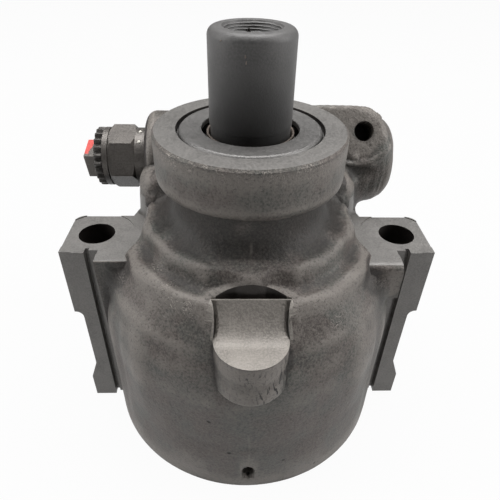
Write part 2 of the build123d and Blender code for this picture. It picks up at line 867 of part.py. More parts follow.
# Rotor: one slot for each vane, and a splined bore
slot_root_place = rotor_radius - vane_tip_drop - vane_height
with BuildPart() as rotor:
    with BuildSketch(Plane.XY.offset(rotor_low_z)):
        Circle(rotor_radius)
        with PolarLocations(slot_root_place, vane_count, start_angle=vane_first_angle):
            Circle(vane_slot_root_radius, mode=Mode.SUBTRACT)
            Rectangle(
                vane_height * 2,
                vane_thickness + 2 * slip_clearance,
                align=(Align.MIN, Align.CENTER),
                mode=Mode.SUBTRACT,
            )
    extrude(amount=rotor_width)
    with BuildSketch(Plane.XY.offset(rotor_low_z)):
        Circle(spline_tip_radius + slip_clearance)
        with BuildSketch(mode=Mode.INTERSECT):
            Circle(spline_root_radius + slip_clearance)
            with PolarLocations(spline_root_radius, spline_count):
                Rectangle(2 * spline_root_radius, spline_width + 2 * slip_clearance)
    extrude(amount=rotor_width, mode=Mode.SUBTRACT)

rotor.part.label = "rotor"
export_step(rotor.part, "parts/rotor.step")

# Vanes: flat blades with a rounded tip, drawn in flush with the rotor
for index in range(vane_count):
    angle = vane_first_angle + index * 360 / vane_count
    with BuildPart() as vane:
        with BuildSketch(Plane.XY.offset(rotor_low_z + vane_end_gap).rotated((0, 0, angle))):
            with Locations((slot_root_place, 0)):
                Rectangle(vane_height, vane_thickness, align=(Align.MIN, Align.CENTER))
        extrude(amount=rotor_width - 2 * vane_end_gap)
        tip = Vector(1, 0, 0).rotate(Axis.Z, angle) * (slot_root_place + vane_height)
        tip_edges = vane.edges().filter_by(Axis.Z).sort_by(
            lambda edge: hypot(edge.center().X - tip.X, edge.center().Y - tip.Y)
        )[0:2]
        fillet(tip_edges, vane_tip_round)
    vane_name = f"vane_{index + 1:02d}"
    vane.part.label = vane_name
    export_step(vane.part, f"parts/{vane_name}.step")

# Pressure plate: ports, a recess for the snap ring, a pilot bore and a seal groove
plate_low_z = disc_spring_top_z
plate_seal_z = plate_low_z + pressure_plate_thickness / 2
seal_groove_radius = stack_radius - seal_cord - slip_clearance
with BuildPart() as pressure_plate:
    with BuildSketch(Plane.XY.offset(plate_low_z)):
        Circle(stack_radius)
        add(port_slots(plate_port_radius, plate_port_half_width, plate_port_sweep), mode=Mode.SUBTRACT)
    extrude(amount=pressure_plate_thickness)
    with BuildSketch(Plane.XY.offset(pressure_plate_top_z)):
        Circle(plate_recess_radius)
    extrude(amount=-plate_recess_depth, mode=Mode.SUBTRACT)
    with BuildSketch(Plane.XY.offset(shaft_low_z - seat_clearance)):
        Circle(shaft_pilot_radius + running_clearance)
    extrude(amount=plate_recess_depth + shaft_pilot_radius, mode=Mode.SUBTRACT)
    with BuildSketch(Plane.XY.offset(pressure_plate_top_z)):
        with Locations((dowel_circle_radius, 0), (-dowel_circle_radius, 0)):
            Circle(dowel_radius)
    extrude(amount=-dowel_blind_depth, mode=Mode.SUBTRACT)
    with BuildSketch(Plane.XY.offset(plate_seal_z - seal_cord / 2 - slip_clearance)):
        Circle(stack_radius + small_edge)
        Circle(seal_groove_radius, mode=Mode.SUBTRACT)
    extrude(amount=seal_cord + 2 * slip_clearance, mode=Mode.SUBTRACT)

pressure_plate.part.label = "pressure_plate"
export_step(pressure_plate.part, "parts/pressure_plate.step")

# Rubber ring in the groove of the pressure plate
pressure_plate_seal = squeezed_ring(
    stack_radius - seal_cord / 2, seal_cord, Plane.XY.offset(plate_seal_z)
)
pressure_plate_seal.label = "pressure_plate_seal"
export_step(pressure_plate_seal, "parts/pressure_plate_seal.step")

# Disc spring between the cover and the pressure plate
with BuildPart() as disc_spring:
    with BuildSketch(Plane.XZ):
        with BuildLine():
            Polyline(
                (disc_spring_inner_radius, cover_top_z),
                (disc_spring_outer_radius, disc_spring_top_z - disc_spring_sheet),
                (disc_spring_outer_radius, disc_spring_top_z),
                (disc_spring_inner_radius, cover_top_z + disc_spring_sheet),
                (disc_spring_inner_radius, cover_top_z),
            )
        make_face()
    revolve(axis=Axis.Z)

disc_spring.part.label = "disc_spring"
export_step(disc_spring.part, "parts/disc_spring.step")

# Rear cover: a turned plug with a low dome and a seal groove
cover_radius = cover_bore_radius - slip_clearance
cover_seal_z = cover_low_z + cover_thickness / 2
with BuildPart() as rear_cover:
    with BuildSketch(Plane.XY.offset(cover_low_z)):
        Circle(cover_radius)
    extrude(amount=cover_thickness)
    with BuildSketch(Plane.XY.offset(cover_low_z)):
        Circle(cover_dome_radius)
    extrude(amount=-cover_dome_height, taper=cover_dome_slope)
    with BuildSketch(Plane.XY.offset(cover_seal_z - seal_cord / 2 - slip_clearance)):
        Circle(cover_radius + small_edge)
        Circle(cover_radius - seal_cord - slip_clearance, mode=Mode.SUBTRACT)
    extrude(amount=seal_cord + 2 * slip_clearance, mode=Mode.SUBTRACT)

rear_cover.part.label = "rear_cover"
export_step(rear_cover.part, "parts/rear_cover.step")

# Rubber ring in the groove of the rear cover
rear_cover_seal = squeezed_ring(cover_radius - seal_cord / 2, seal_cord, Plane.XY.offset(cover_seal_z))
rear_cover_seal.label = "rear_cover_seal"
export_step(rear_cover_seal, "parts/rear_cover_seal.step")

# Retaining ring: an open spring ring in its groove under the cover
retaining_outer_radius = cover_bore_radius + ring_groove_extra - slip_clearance
with BuildPart() as retaining_ring:
    with BuildSketch(Plane.XY.offset(ring_groove_z + seat_clearance / 2)):
        Circle(retaining_outer_radius)
        Circle(retaining_outer_radius - retaining_ring_width, mode=Mode.SUBTRACT)
        opening_width = 2 * retaining_outer_radius * sin(radians(retaining_ring_opening / 2))
        Rectangle(
            2 * retaining_outer_radius,
            opening_width,
            align=(Align.MIN, Align.CENTER),
            mode=Mode.SUBTRACT,
        )
    extrude(amount=retaining_ring_thickness)

retaining_ring.part.label = "retaining_ring"
export_step(retaining_ring.part, "parts/retaining_ring.step")

# Two dowels that line up the plates and the cam ring with the casting
dowel_low_z = pressure_plate_top_z - dowel_blind_depth + seat_clearance
dowel_high_z = cavity_top_z + dowel_blind_depth - seat_clearance
with BuildPart() as dowel_pins:
    with BuildSketch(Plane.XY.offset(dowel_low_z)):
        with Locations((dowel_circle_radius, 0), (-dowel_circle_radius, 0)):
            Circle(dowel_radius - running_clearance)
    extrude(amount=dowel_high_z - dowel_low_z)

dowel_pins.part.label = "dowel_pins"
export_step(dowel_pins.part, "parts/dowel_pins.step")

# Flow control spool: two lands, a waist and a bore for the relief valve
with BuildPart() as flow_spool:
    with BuildSketch(across(spool_x)):
        Circle(valve_bore_radius - spool_clearance)
    extrude(amount=spool_length)
    with BuildSketch(across(spool_x + spool_land)):
        Circle(valve_bore_radius)
        Circle(spool_waist_radius, mode=Mode.SUBTRACT)
    extrude(amount=spool_length - 2 * spool_land, mode=Mode.SUBTRACT)
    with BuildSketch(across(spool_end_x)):
        Circle(spool_bore_radius)
    extrude(amount=spool_bore_end_x - spool_end_x, mode=Mode.SUBTRACT)

flow_spool.part.label = "flow_spool"
export_step(flow_spool.part, "parts/flow_spool.step")

# Relief seat: a drilled screw in the end of the spool
with BuildPart() as relief_seat:
    with BuildSketch(across(spool_end_x)):
        Circle(spool_bore_radius - running_clearance)
    extrude(amount=-relief_seat_length)
    with BuildSketch(across(spool_end_x)):
        RegularPolygon(relief_seat_head_flats / 2, hex_sides, major_radius=False)
    extrude(amount=relief_seat_head)
    with BuildSketch(across(spool_end_x + relief_seat_head)):
        Circle(relief_seat_hole_radius)
    extrude(amount=-relief_seat_length - relief_seat_head, mode=Mode.SUBTRACT)

relief_seat.part.label = "relief_seat"
export_step(relief_seat.part, "parts/relief_seat.step")

# Relief ball, resting on the mouth of its seat
with BuildPart() as relief_ball:
    with Locations((relief_ball_x, valve_y, valve_z)):
        Sphere(relief_ball_radius)

relief_ball.part.label = "relief_ball"
export_step(relief_ball.part, "parts/relief_ball.step")


def coil_spring(start_x, end_x, coil_radius, wire_radius, turns):
    """Wire coil along the valve bore, from one x to the other."""
    length = end_x - start_x - 2 * wire_radius
    with BuildPart() as coil:
        with BuildLine() as path:
            Helix(
                pitch=length / turns,
                height=length,
                radius=coil_radius,
                center=(start_x + wire_radius, valve_y, valve_z),
                direction=(1, 0, 0),
            )
        with BuildSketch(Plane(origin=path.line @ 0, z_dir=path.line % 0)):
            RegularPolygon(wire_radius, spring_wire_sides)
        sweep(is_frenet=True)
    return coil.part


# Spring behind the relief ball
relief_spring = coil_spring(
    relief_spring_start_x,
    relief_spring_end_x,
    relief_spring_radius,
    relief_spring_wire_radius,
    relief_spring_turns,
)
relief_spring.label = "relief_spring"
export_step(relief_spring, "parts/relief_spring.step")

# Spring that pushes the spool against the fitting
flow_spring = coil_spring(
    spool_end_x + slip_clearance,
    valve_bore_end_x - slip_clearance,
    flow_spring_radius,
    flow_spring_wire_radius,
    flow_spring_turns,
)
flow_spring.label = "flow_spring"
export_step(flow_spring, "parts/flow_spring.step")


def hexagon(x, length, flats, turn):
    """Hexagon on the valve axis, from x towards -X, with its corners turned off at both ends."""
    crest = flats / 2 / cos(pi / hex_sides)
    with BuildPart() as head:
        with BuildSketch(across(x)):
            RegularPolygon(flats / 2, hex_sides, major_radius=False, rotation=turn)
        extrude(amount=-length)
        with BuildSketch(Plane.XY.offset(valve_z)):
            with BuildLine():
                Polyline(
                    (x, valve_y),
                    (x, valve_y + flats / 2),
                    (x - hex_end_edge, valve_y + crest),
                    (x - length + hex_end_edge, valve_y + crest),
                    (x - length, valve_y + flats / 2),
                    (x - length, valve_y),
                    (x, valve_y),
                )
            make_face()
        revolve(axis=Axis((0, valve_y, valve_z), (1, 0, 0)), mode=Mode.INTERSECT)
    return head.part


# Outlet fitting: screwed shank, neck, hexagon and a round collar at its mouth
fitting_hexagon = hexagon(fitting_hex_x, fitting_hex_length, fitting_hex_flats, fitting_hex_turn)
with BuildPart() as outlet_fitting:
    with BuildSketch(across(valve_boss_left_x)):
        Circle(valve_thread_radius - slip_clearance)
    extrude(amount=fitting_thread_length)
    with BuildSketch(across(valve_boss_left_x)):
        Circle(valve_seal_seat_radius)
        Circle(valve_seal_seat_radius - fitting_seal_cord - slip_clearance, mode=Mode.SUBTRACT)
    extrude(amount=fitting_seal_cord, mode=Mode.SUBTRACT)
    with BuildSketch(across(valve_boss_left_x)):
        Circle(fitting_neck_radius)
    extrude(amount=-fitting_neck_length)
    add(fitting_hexagon)
    with BuildSketch(across(fitting_collar_x)):
        Circle(fitting_collar_radius)
    extrude(amount=-fitting_collar_length)
    with BuildSketch(across(lock_ring_x)):
        Circle(fitting_bore_radius)
    extrude(amount=fitting_bore_depth, mode=Mode.SUBTRACT)
    with BuildSketch(across(lock_ring_x)):
        Circle(fitting_passage_radius)
    extrude(amount=spool_x - lock_ring_x, mode=Mode.SUBTRACT)

outlet_fitting.part.label = "outlet_fitting"
export_step(outlet_fitting.part, "parts/outlet_fitting.step")

# Rubber ring around the neck of the fitting, in the mouth of the valve bore
mouth_seal = squeezed_ring(
    valve_seal_seat_radius - fitting_seal_cord / 2,
    fitting_seal_cord - 2 * slip_clearance,
    across(valve_boss_left_x + fitting_seal_cord / 2),
)
mouth_seal.label = "mouth_seal"
export_step(mouth_seal, "parts/mouth_seal.step")

# Toothed lock ring between the fitting and its plug
plug_shank_radius = fitting_bore_radius - slip_clearance
with BuildPart() as lock_ring:
    with BuildSketch(across(lock_ring_x)):
        Circle(lock_ring_radius)
        Circle(fitting_bore_radius, mode=Mode.SUBTRACT)
        with PolarLocations(lock_ring_radius, lock_ring_tooth_count):
            RegularPolygon(lock_ring_notch_depth, 4, mode=Mode.SUBTRACT)
    extrude(amount=-lock_ring_thickness)

lock_ring.part.label = "lock_ring"
export_step(lock_ring.part, "parts/lock_ring.step")

# Plug that closes the outlet: a small hexagon on a screwed shank with a seal groove
plug_end_x = lock_ring_x + plug_shank_length
plug_groove_x = lock_ring_x + plug_shank_length / 2
plug_hexagon = hexagon(plug_hex_x, plug_hex_length, plug_hex_flats, plug_hex_turn)
with BuildPart() as port_plug:
    add(plug_hexagon)
    with BuildSketch(across(plug_hex_x)):
        Circle(plug_shank_radius)
    extrude(amount=plug_end_x - plug_hex_x)
    with BuildSketch(across(plug_groove_x)):
        Circle(plug_shank_radius + small_edge)
        Circle(plug_shank_radius - plug_seal_cord, mode=Mode.SUBTRACT)
    extrude(amount=plug_seal_cord, mode=Mode.SUBTRACT)

port_plug.part.label = "port_plug"
export_step(port_plug.part, "parts/port_plug.step")

# Rubber ring on the shank of the plug
plug_seal = squeezed_ring(
    plug_shank_radius - plug_seal_cord / 2,
    plug_seal_cord - 2 * slip_clearance,
    across(plug_groove_x + plug_seal_cord / 2),
)
plug_seal.label = "plug_seal"
export_step(plug_seal, "parts/plug_seal.step")
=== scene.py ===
"""Looks of a power steering pump: cast and machined iron, turned steel, rubber, and its studio."""

import json
from math import ceil, cos, hypot, pi, radians, sin

import bmesh
import bpy
from bpy.props import FloatProperty, FloatVectorProperty, PointerProperty
from mathutils import Matrix, Vector, noise
from mathutils.geometry import intersect_point_line
from mathutils.kdtree import KDTree


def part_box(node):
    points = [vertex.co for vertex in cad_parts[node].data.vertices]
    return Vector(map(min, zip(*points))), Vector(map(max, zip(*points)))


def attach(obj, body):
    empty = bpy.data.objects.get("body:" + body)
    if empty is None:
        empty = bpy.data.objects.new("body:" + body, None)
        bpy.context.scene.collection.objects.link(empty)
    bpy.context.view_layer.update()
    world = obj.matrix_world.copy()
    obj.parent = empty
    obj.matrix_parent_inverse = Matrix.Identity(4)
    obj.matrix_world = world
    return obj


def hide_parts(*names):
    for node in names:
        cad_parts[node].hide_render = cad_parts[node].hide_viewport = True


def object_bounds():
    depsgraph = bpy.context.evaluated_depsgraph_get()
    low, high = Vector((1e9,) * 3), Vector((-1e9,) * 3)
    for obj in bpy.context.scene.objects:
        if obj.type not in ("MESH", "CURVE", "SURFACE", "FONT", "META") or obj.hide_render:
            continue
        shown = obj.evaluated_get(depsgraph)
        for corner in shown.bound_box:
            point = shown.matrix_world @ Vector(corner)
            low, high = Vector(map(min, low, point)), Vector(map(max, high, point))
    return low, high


bl_info = {
    "name": "Power Steering Pump Looks",
    "version": (1, 0, 0),
    "blender": (4, 5, 0),
    "location": "3D View > Sidebar > Pump",
    "description": "Surfaces, fine parts, lamps and camera of a power steering pump",
    "category": "Object",
}

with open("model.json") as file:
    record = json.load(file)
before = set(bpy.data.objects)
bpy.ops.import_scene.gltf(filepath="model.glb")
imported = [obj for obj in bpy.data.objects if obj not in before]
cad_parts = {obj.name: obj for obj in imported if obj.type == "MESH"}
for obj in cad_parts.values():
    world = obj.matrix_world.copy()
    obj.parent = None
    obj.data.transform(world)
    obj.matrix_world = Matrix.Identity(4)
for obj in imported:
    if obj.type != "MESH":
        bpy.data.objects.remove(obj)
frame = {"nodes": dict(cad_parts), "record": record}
cad_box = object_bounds()
mounts = {mount["name"]: mount for mount in frame["record"]["mounts"]}

MM = 0.001

# Places on the casting, in metres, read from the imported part
NOSE_FACE_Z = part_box("seal_case")[1].z
SHAFT_TOP_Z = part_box("drive_shaft")[1].z
EAR_X = mounts["ear_bolts"]["dims"]["spacing_x_mm"] * MM / 2
EAR_Y = mounts["ear_bolts"]["pos_m"][1]
EAR_TOP_Z = 50.4 * MM
LUG_TOP_Z = mounts["lug_top"]["pos_m"][2]
TAB_HOLE = Vector(mounts["tab_thread"]["pos_m"])
TAB_AXIS = Vector(mounts["tab_thread"]["axis"])
VALVE_Y = 22.0 * MM
VALVE_Z = 59.5 * MM
PLUG_HEAD_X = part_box("lock_ring")[0].x + 0.01 * MM

# Lug's pale face: where its hollow curve starts, how long and how high it is, and the face's half width
SCOOP_FRONT_Y = -33.5 * MM
SCOOP_LENGTH = 7.6 * MM
SCOOP_RISE = 5.8 * MM
LUG_HALF_WIDTH = 7.6 * MM

# Height below which the fitting's colour is darker, and the edges of the red daub on the plug
FITTING_DARK_BELOW_Z = 57.8 * MM
DAUB_LOW_Z = 61.6 * MM
DAUB_EDGE_X = -44.3 * MM
DAUB_SLANT = 0.19

# Finishes of the casting, as the numbers of its materials
CAST, MACHINED, BORED, PALE = range(4)

# Camera fitted to the photograph: place in metres, and angles in radians
CAMERA_PLACE = (-3.240 * MM, -92.369 * MM, 112.672 * MM)
CAMERA_PITCH = 0.633
CAMERA_YAW = 0.041
CAMERA_ROLL = -0.026

FLOOR_GREY = (0.42, 0.42, 0.42, 1.0)
FLOOR_WHITENESS = 0.96
WHITE = (1.0, 1.0, 1.0, 1.0)


def colour_property(name, description, default):
    """Colour that the panel shows."""
    return FloatVectorProperty(
        name=name, description=description, subtype="COLOR", size=3, min=0.0, max=1.0, default=default
    )


def length_property(name, description, default, least):
    """Length that the panel shows."""
    return FloatProperty(
        name=name, description=description, subtype="DISTANCE", unit="LENGTH", min=least, default=default
    )


class PumpColours(bpy.types.PropertyGroup):
    """Colours of the pump's surfaces."""

    cast: colour_property("Cast iron", "Blasted skin of the casting", (0.094, 0.079, 0.071))
    cast_patch: colour_property(
        "Cast patches", "Greener patches on the skin of the casting", (0.081, 0.083, 0.075)
    )
    # Crest colour: partly rubbed wear and partly painted highlight where the skin stands out; it also
    # lightens the grain specks, the parting line and the burrs
    crest_highlight_and_light_marks: colour_property(
        "Cast crests", "Skin where it stands out, rubbed lighter", (0.205, 0.186, 0.168)
    )
    # Hollow colour: painted shade in the hollows; it also darkens the grit and the scratches
    hollow_shade_and_dark_marks: colour_property(
        "Cast hollows", "Skin in the hollows, where dark scale stays", (0.027, 0.024, 0.022)
    )
    machined: colour_property(
        "Machined iron", "Milled and faced surfaces of the casting", (0.168, 0.161, 0.153)
    )
    lug_face: colour_property("Lug face", "Pale milled face of the front lug", (0.225, 0.207, 0.187))
    shaft: colour_property("Shaft", "Turned and blasted end of the drive shaft", (0.12, 0.117, 0.115))
    seal: colour_property("Seal case", "Pressed steel case of the shaft seal", (0.17, 0.165, 0.16))
    fitting: colour_property(
        "Outlet fitting", "Dark coated steel of the fitting, lock ring and plug", (0.12, 0.11, 0.101)
    )
    paint: colour_property("Paint mark", "Red daub on the plug", (0.66, 0.075, 0.06))


class PumpCasting(bpy.types.PropertyGroup):
    """Mesh of the casting."""

    mesh_step: length_property("Mesh step", "Longest edge of the casting's outer mesh", 0.0019, 0.0003)
    blend_reach: length_property(
        "Blend reach", "How far the cast blends reach from an inside corner", 0.004, 0.0
    )
    unevenness: length_property("Unevenness", "Height of the slow waves on the cast skin", 0.00012, 0.0)


class PumpStudio(bpy.types.PropertyGroup):
    """Floor, lamps and camera."""

    floor_radius: length_property("Floor radius", "Radius of the pale floor", 4.0, 0.5)
    top_power: FloatProperty(
        name="Top lamp",
        description="Power of the soft lamp above and behind the pump",
        subtype="POWER",
        min=0.0,
        default=5.9,
    )
    side_power: FloatProperty(
        name="Side lamps",
        description="Power of each of the two side lamps",
        subtype="POWER",
        min=0.0,
        default=2.4,
    )
    world_level: FloatProperty(
        name="Room light",
        description="Strength of the even light of the room",
        min=0.0,
        default=0.08,
    )
    lens: FloatProperty(
        name="Lens",
        description="Focal length in millimetres on a 36 mm wide sensor",
        min=10.0,
        default=33.312,
    )


# Shader tools


def feed(tree, target, inputs):
    """Sets a node's inputs, each to a value or to the output socket that feeds it."""
    for name, value in inputs.items():
        if isinstance(value, bpy.types.NodeSocket):
            tree.links.new(value, target.inputs[name])
        else:
            target.inputs[name].default_value = value


def node(tree, kind, inputs=None, **settings):
    """Adds a shader node with its settings and inputs."""
    made = tree.nodes.new(kind)
    for name, value in settings.items():
        setattr(made, name, value)
    feed(tree, made, inputs or {})
    return made


def math_node(tree, operation, first, second=0.0, third=0.0):
    """Math node's result."""
    return node(tree, "ShaderNodeMath", {0: first, 1: second, 2: third}, operation=operation).outputs[0]


def smooth_step(tree, value, low, high):
    """0 below low, 1 above high, smooth between."""
    made = node(
        tree,
        "ShaderNodeMapRange",
        {"Value": value, "From Min": low, "From Max": high},
        interpolation_type="SMOOTHSTEP",
    )
    return made.outputs[0]


def noise_value(tree, place, scale, detail, roughness, distortion=0.0):
    """Value of a noise texture."""
    made = node(
        tree,
        "ShaderNodeTexNoise",
        {"Vector": place, "Scale": scale, "Detail": detail, "Roughness": roughness, "Distortion": distortion},
    )
    return made.outputs["Fac"]


def mix_colour(tree, factor, first, second):
    """Mix of two colours."""
    made = node(tree, "ShaderNodeMix", {0: factor, 6: first, 7: second}, data_type="RGBA")
    return made.outputs[2]


def new_group(name, inputs, outputs):
    """Node group with its sockets, and its input and output nodes."""
    group = bpy.data.node_groups.new(name, "ShaderNodeTree")
    for label, kind, default in inputs:
        socket = group.interface.new_socket(label, in_out="INPUT", socket_type=kind)
        if default is not None:
            socket.default_value = default
    for label in outputs:
        group.interface.new_socket(label, in_out="OUTPUT", socket_type="NodeSocketFloat")
    return group, group.nodes.new("NodeGroupInput"), group.nodes.new("NodeGroupOutput")


def skin_group():
    """Grain, patches, pits and fibres of a cast skin. Sizes are in features for each metre."""
    group, start, end = new_group(
        "Cast skin",
        [
            ("Vector", "NodeSocketVector", None),
            ("Grain", "NodeSocketFloat", 2000.0),
            ("Lumps", "NodeSocketFloat", 650.0),
            ("Patches", "NodeSocketFloat", 95.0),
            ("Fibres", "NodeSocketFloat", 620.0),
            ("Dashes", "NodeSocketFloat", 1700.0),
        ],
        ["Height", "Patch", "Cloud", "Pit", "Speck", "Grit", "Fibre", "Dash"],
    )
    place = start.outputs["Vector"]
    grain = noise_value(group, place, start.outputs["Grain"], 3.0, 0.7)
    lumps = noise_value(group, place, start.outputs["Lumps"], 3.0, 0.55)
    patch = noise_value(group, place, start.outputs["Patches"], 4.0, 0.6, 0.5)
    clouds = math_node(group, "MULTIPLY", start.outputs["Patches"], 2.7)
    cloud = noise_value(group, place, clouds, 4.0, 0.65, 0.3)
    strand = noise_value(group, place, start.outputs["Fibres"], 1.0, 0.5, 2.0)
    cells = node(group, "ShaderNodeTexVoronoi", {"Vector": place, "Scale": 240.0})
    chance = node(group, "ShaderNodeSeparateColor", {"Color": cells.outputs["Color"]}).outputs[0]
    near = smooth_step(group, cells.outputs["Distance"], 0.15, 0.05)
    pit = math_node(group, "MULTIPLY", near, smooth_step(group, chance, 0.9, 0.93))
    slant = node(
        group,
        "ShaderNodeMapping",
        {"Vector": place, "Rotation": (0.0, 0.65, 0.0), "Scale": (1.0, 1.0, 0.28)},
    ).outputs[0]
    dash = noise_value(group, slant, start.outputs["Dashes"], 1.0, 0.5)
    off_line = math_node(group, "ABSOLUTE", math_node(group, "SUBTRACT", strand, 0.5))
    height = math_node(group, "MULTIPLY_ADD", lumps, 0.6, math_node(group, "MULTIPLY", grain, 0.4))
    results = {
        "Height": math_node(group, "MULTIPLY_ADD", pit, -0.8, height),
        "Patch": smooth_step(group, patch, 0.4, 0.62),
        "Cloud": smooth_step(group, cloud, 0.34, 0.66),
        "Pit": pit,
        "Speck": smooth_step(group, grain, 0.42, 0.7),
        "Grit": smooth_step(group, grain, 0.48, 0.3),
        "Fibre": smooth_step(group, off_line, 0.03, 0.01),
        "Dash": smooth_step(group, dash, 0.6, 0.64),
    }
    feed(group, end, results)


def seam_group():
    """Thin broken line of the mould's parting, down the front of the casting."""
    group, start, end = new_group(
        "Parting line",
        [
            ("Vector", "NodeSocketVector", None),
            ("Half width", "NodeSocketFloat", 0.00045),
        ],
        ["Mask"],
    )
    place = start.outputs["Vector"]
    parts = node(group, "ShaderNodeSeparateXYZ", {"Vector": place})
    wander = math_node(group, "SUBTRACT", noise_value(group, place, 90.0, 2.0, 0.5), 0.5)
    shifted = math_node(group, "MULTIPLY_ADD", wander, 0.0014, parts.outputs["X"])
    aside = math_node(group, "ABSOLUTE", shifted)
    inner = math_node(group, "MULTIPLY", start.outputs["Half width"], 0.2)
    line = smooth_step(group, aside, start.outputs["Half width"], inner)
    front = smooth_step(group, parts.outputs["Y"], -0.012, -0.016)
    broken = smooth_step(group, noise_value(group, place, 260.0, 2.0, 0.5), 0.4, 0.6)
    mask = math_node(group, "MULTIPLY", line, math_node(group, "MULTIPLY", front, broken))
    feed(group, end, {"Mask": mask})


def grain_group():
    """Fine even grain of a blasted metal face."""
    group, start, end = new_group(
        "Blasted grain",
        [
            ("Vector", "NodeSocketVector", None),
            ("Grain", "NodeSocketFloat", 2500.0),
            ("Clouds", "NodeSocketFloat", 160.0),
        ],
        ["Height", "Speck", "Cloud"],
    )
    place = start.outputs["Vector"]
    fine = noise_value(group, place, start.outputs["Grain"], 2.0, 0.7)
    clouds = noise_value(group, place, start.outputs["Clouds"], 4.0, 0.6)
    speck = smooth_step(group, fine, 0.38, 0.64)
    cloud = smooth_step(group, clouds, 0.35, 0.65)
    feed(group, end, {"Height": fine, "Speck": speck, "Cloud": cloud})


def empty_tree(owner):
    """Emptied node tree of a material or a world."""
    owner.use_nodes = True
    owner.node_tree.nodes.clear()
    return owner.node_tree


def new_material(name):
    """Empty material with its Principled shader and Object coordinates."""
    material = bpy.data.materials.new(name)
    tree = empty_tree(material)
    shader = tree.nodes.new("ShaderNodeBsdfPrincipled")
    output = tree.nodes.new("ShaderNodeOutputMaterial")
    tree.links.new(shader.outputs[0], output.inputs[0])
    place = tree.nodes.new("ShaderNodeTexCoord").outputs["Object"]
    return material, tree, shader, place


def shade(colour, factor=1.0):
    """Lighter or darker copy of a colour, with the alpha that a colour socket wants."""
    return (*(min(1.0, part * factor) for part in colour[:3]), 1.0)


def bump(tree, shader, height, distance, strength=1.0):
    """Feeds a height into the shader's normal."""
    made = node(
        tree,
        "ShaderNodeBump",
        {"Height": height, "Distance": distance, "Strength": strength},
    )
    tree.links.new(made.outputs[0], shader.inputs["Normal"])


def use_group(tree, name, **inputs):
    """Places a node group and sets its inputs."""
    return node(tree, "ShaderNodeGroup", inputs, node_tree=bpy.data.node_groups[name]).outputs


def attribute(tree, name):
    """Number that the mesh stores at its vertices."""
    return node(tree, "ShaderNodeAttribute", attribute_name=name).outputs["Fac"]


def cast_material(name, colours):
    """Blasted and darkened skin of the casting: lighter on its crests, partly rubbed wear and partly painted
    highlight, and darker in its hollows as painted shade.
    """
    material, tree, shader, place = new_material(name)
    skin = use_group(tree, "Cast skin", Vector=place)
    relief = attribute(tree, "relief")
    ragged = math_node(tree, "SUBTRACT", skin["Cloud"], 0.5)
    level = math_node(tree, "MULTIPLY_ADD", ragged, 0.22, relief)
    base = mix_colour(tree, skin["Patch"], shade(colours.cast), shade(colours.cast_patch))
    cloud = math_node(tree, "MULTIPLY", skin["Cloud"], 0.42)
    clouded = mix_colour(tree, cloud, base, shade(colours.cast, 0.55))
    # Painted highlight on the crests, partly rubbed wear
    crest = math_node(tree, "MULTIPLY", smooth_step(tree, level, 0.02, 0.75), 0.8)
    rubbed = mix_colour(tree, crest, clouded, shade(colours.crest_highlight_and_light_marks))
    # Painted shade in the hollows
    hollow = math_node(tree, "MULTIPLY", smooth_step(tree, level, -0.04, -0.7), 0.8)
    shaded = mix_colour(tree, hollow, rubbed, shade(colours.hollow_shade_and_dark_marks))
    speck_share = math_node(tree, "MULTIPLY_ADD", hollow, -0.4, 0.5)
    speck = math_node(tree, "MULTIPLY", skin["Speck"], speck_share)
    speckled = mix_colour(tree, speck, shaded, shade(colours.crest_highlight_and_light_marks, 1.15))
    grit = math_node(tree, "MULTIPLY", skin["Grit"], 0.62)
    darkened = mix_colour(tree, grit, speckled, shade(colours.hollow_shade_and_dark_marks, 0.8))
    seam = use_group(tree, "Parting line", Vector=place)["Mask"]
    lined = mix_colour(tree, math_node(tree, "MULTIPLY", seam, 0.35), darkened, shade(colours.crest_highlight_and_light_marks))
    burr = math_node(tree, "MULTIPLY", skin["Fibre"], attribute(tree, "burr"))
    frayed = mix_colour(tree, math_node(tree, "MULTIPLY", burr, 0.8), lined, shade(colours.crest_highlight_and_light_marks, 1.9))
    scratch = math_node(tree, "MULTIPLY", skin["Dash"], attribute(tree, "scratch"))
    scored = mix_colour(tree, scratch, frayed, shade(colours.hollow_shade_and_dark_marks, 0.4))
    # Near-black pits: painted shade inside the pits
    pitted = mix_colour(tree, skin["Pit"], scored, shade(colours.cast, 0.15))
    rough = math_node(tree, "MULTIPLY_ADD", skin["Speck"], 0.16, 0.5)
    feed(tree, shader, {"Base Color": pitted, "Roughness": rough, "Metallic": 0.3})
    raised = math_node(tree, "MULTIPLY_ADD", burr, 0.7, skin["Height"])
    bump(tree, shader, math_node(tree, "MULTIPLY_ADD", scratch, -0.7, raised), 0.0003, 0.9)
    return material


def grained_colour(tree, blasted, colour, dull, bright, glint):
    """Colour clouded between dull and bright, with the light specks of the grain."""
    clouded = mix_colour(tree, blasted["Cloud"], shade(colour, dull), shade(colour, bright))
    speck = math_node(tree, "MULTIPLY", blasted["Speck"], 0.5)
    return mix_colour(tree, speck, clouded, shade(colour, glint))


def blasted_material(name, colour, roughness, metallic, relief=0.00006, darker_below_z=None):
    """Machined metal with the fine grain that blasting leaves, darker below the given height, if one is
    given.
    """
    material, tree, shader, place = new_material(name)
    blasted = use_group(tree, "Blasted grain", Vector=place)
    result = grained_colour(tree, blasted, colour, 0.86, 1.08, 1.6)
    if darker_below_z is not None:
        height = node(tree, "ShaderNodeSeparateXYZ", {"Vector": place}).outputs["Z"]
        clear = smooth_step(tree, height, darker_below_z - 0.0008, darker_below_z + 0.0006)
        result = mix_colour(tree, clear, shade(colour, 0.3), result)
    rough = math_node(tree, "MULTIPLY_ADD", blasted["Speck"], 0.14, roughness - 0.07)
    feed(tree, shader, {"Base Color": result, "Roughness": rough, "Metallic": metallic})
    bump(tree, shader, blasted["Height"], relief)
    return material


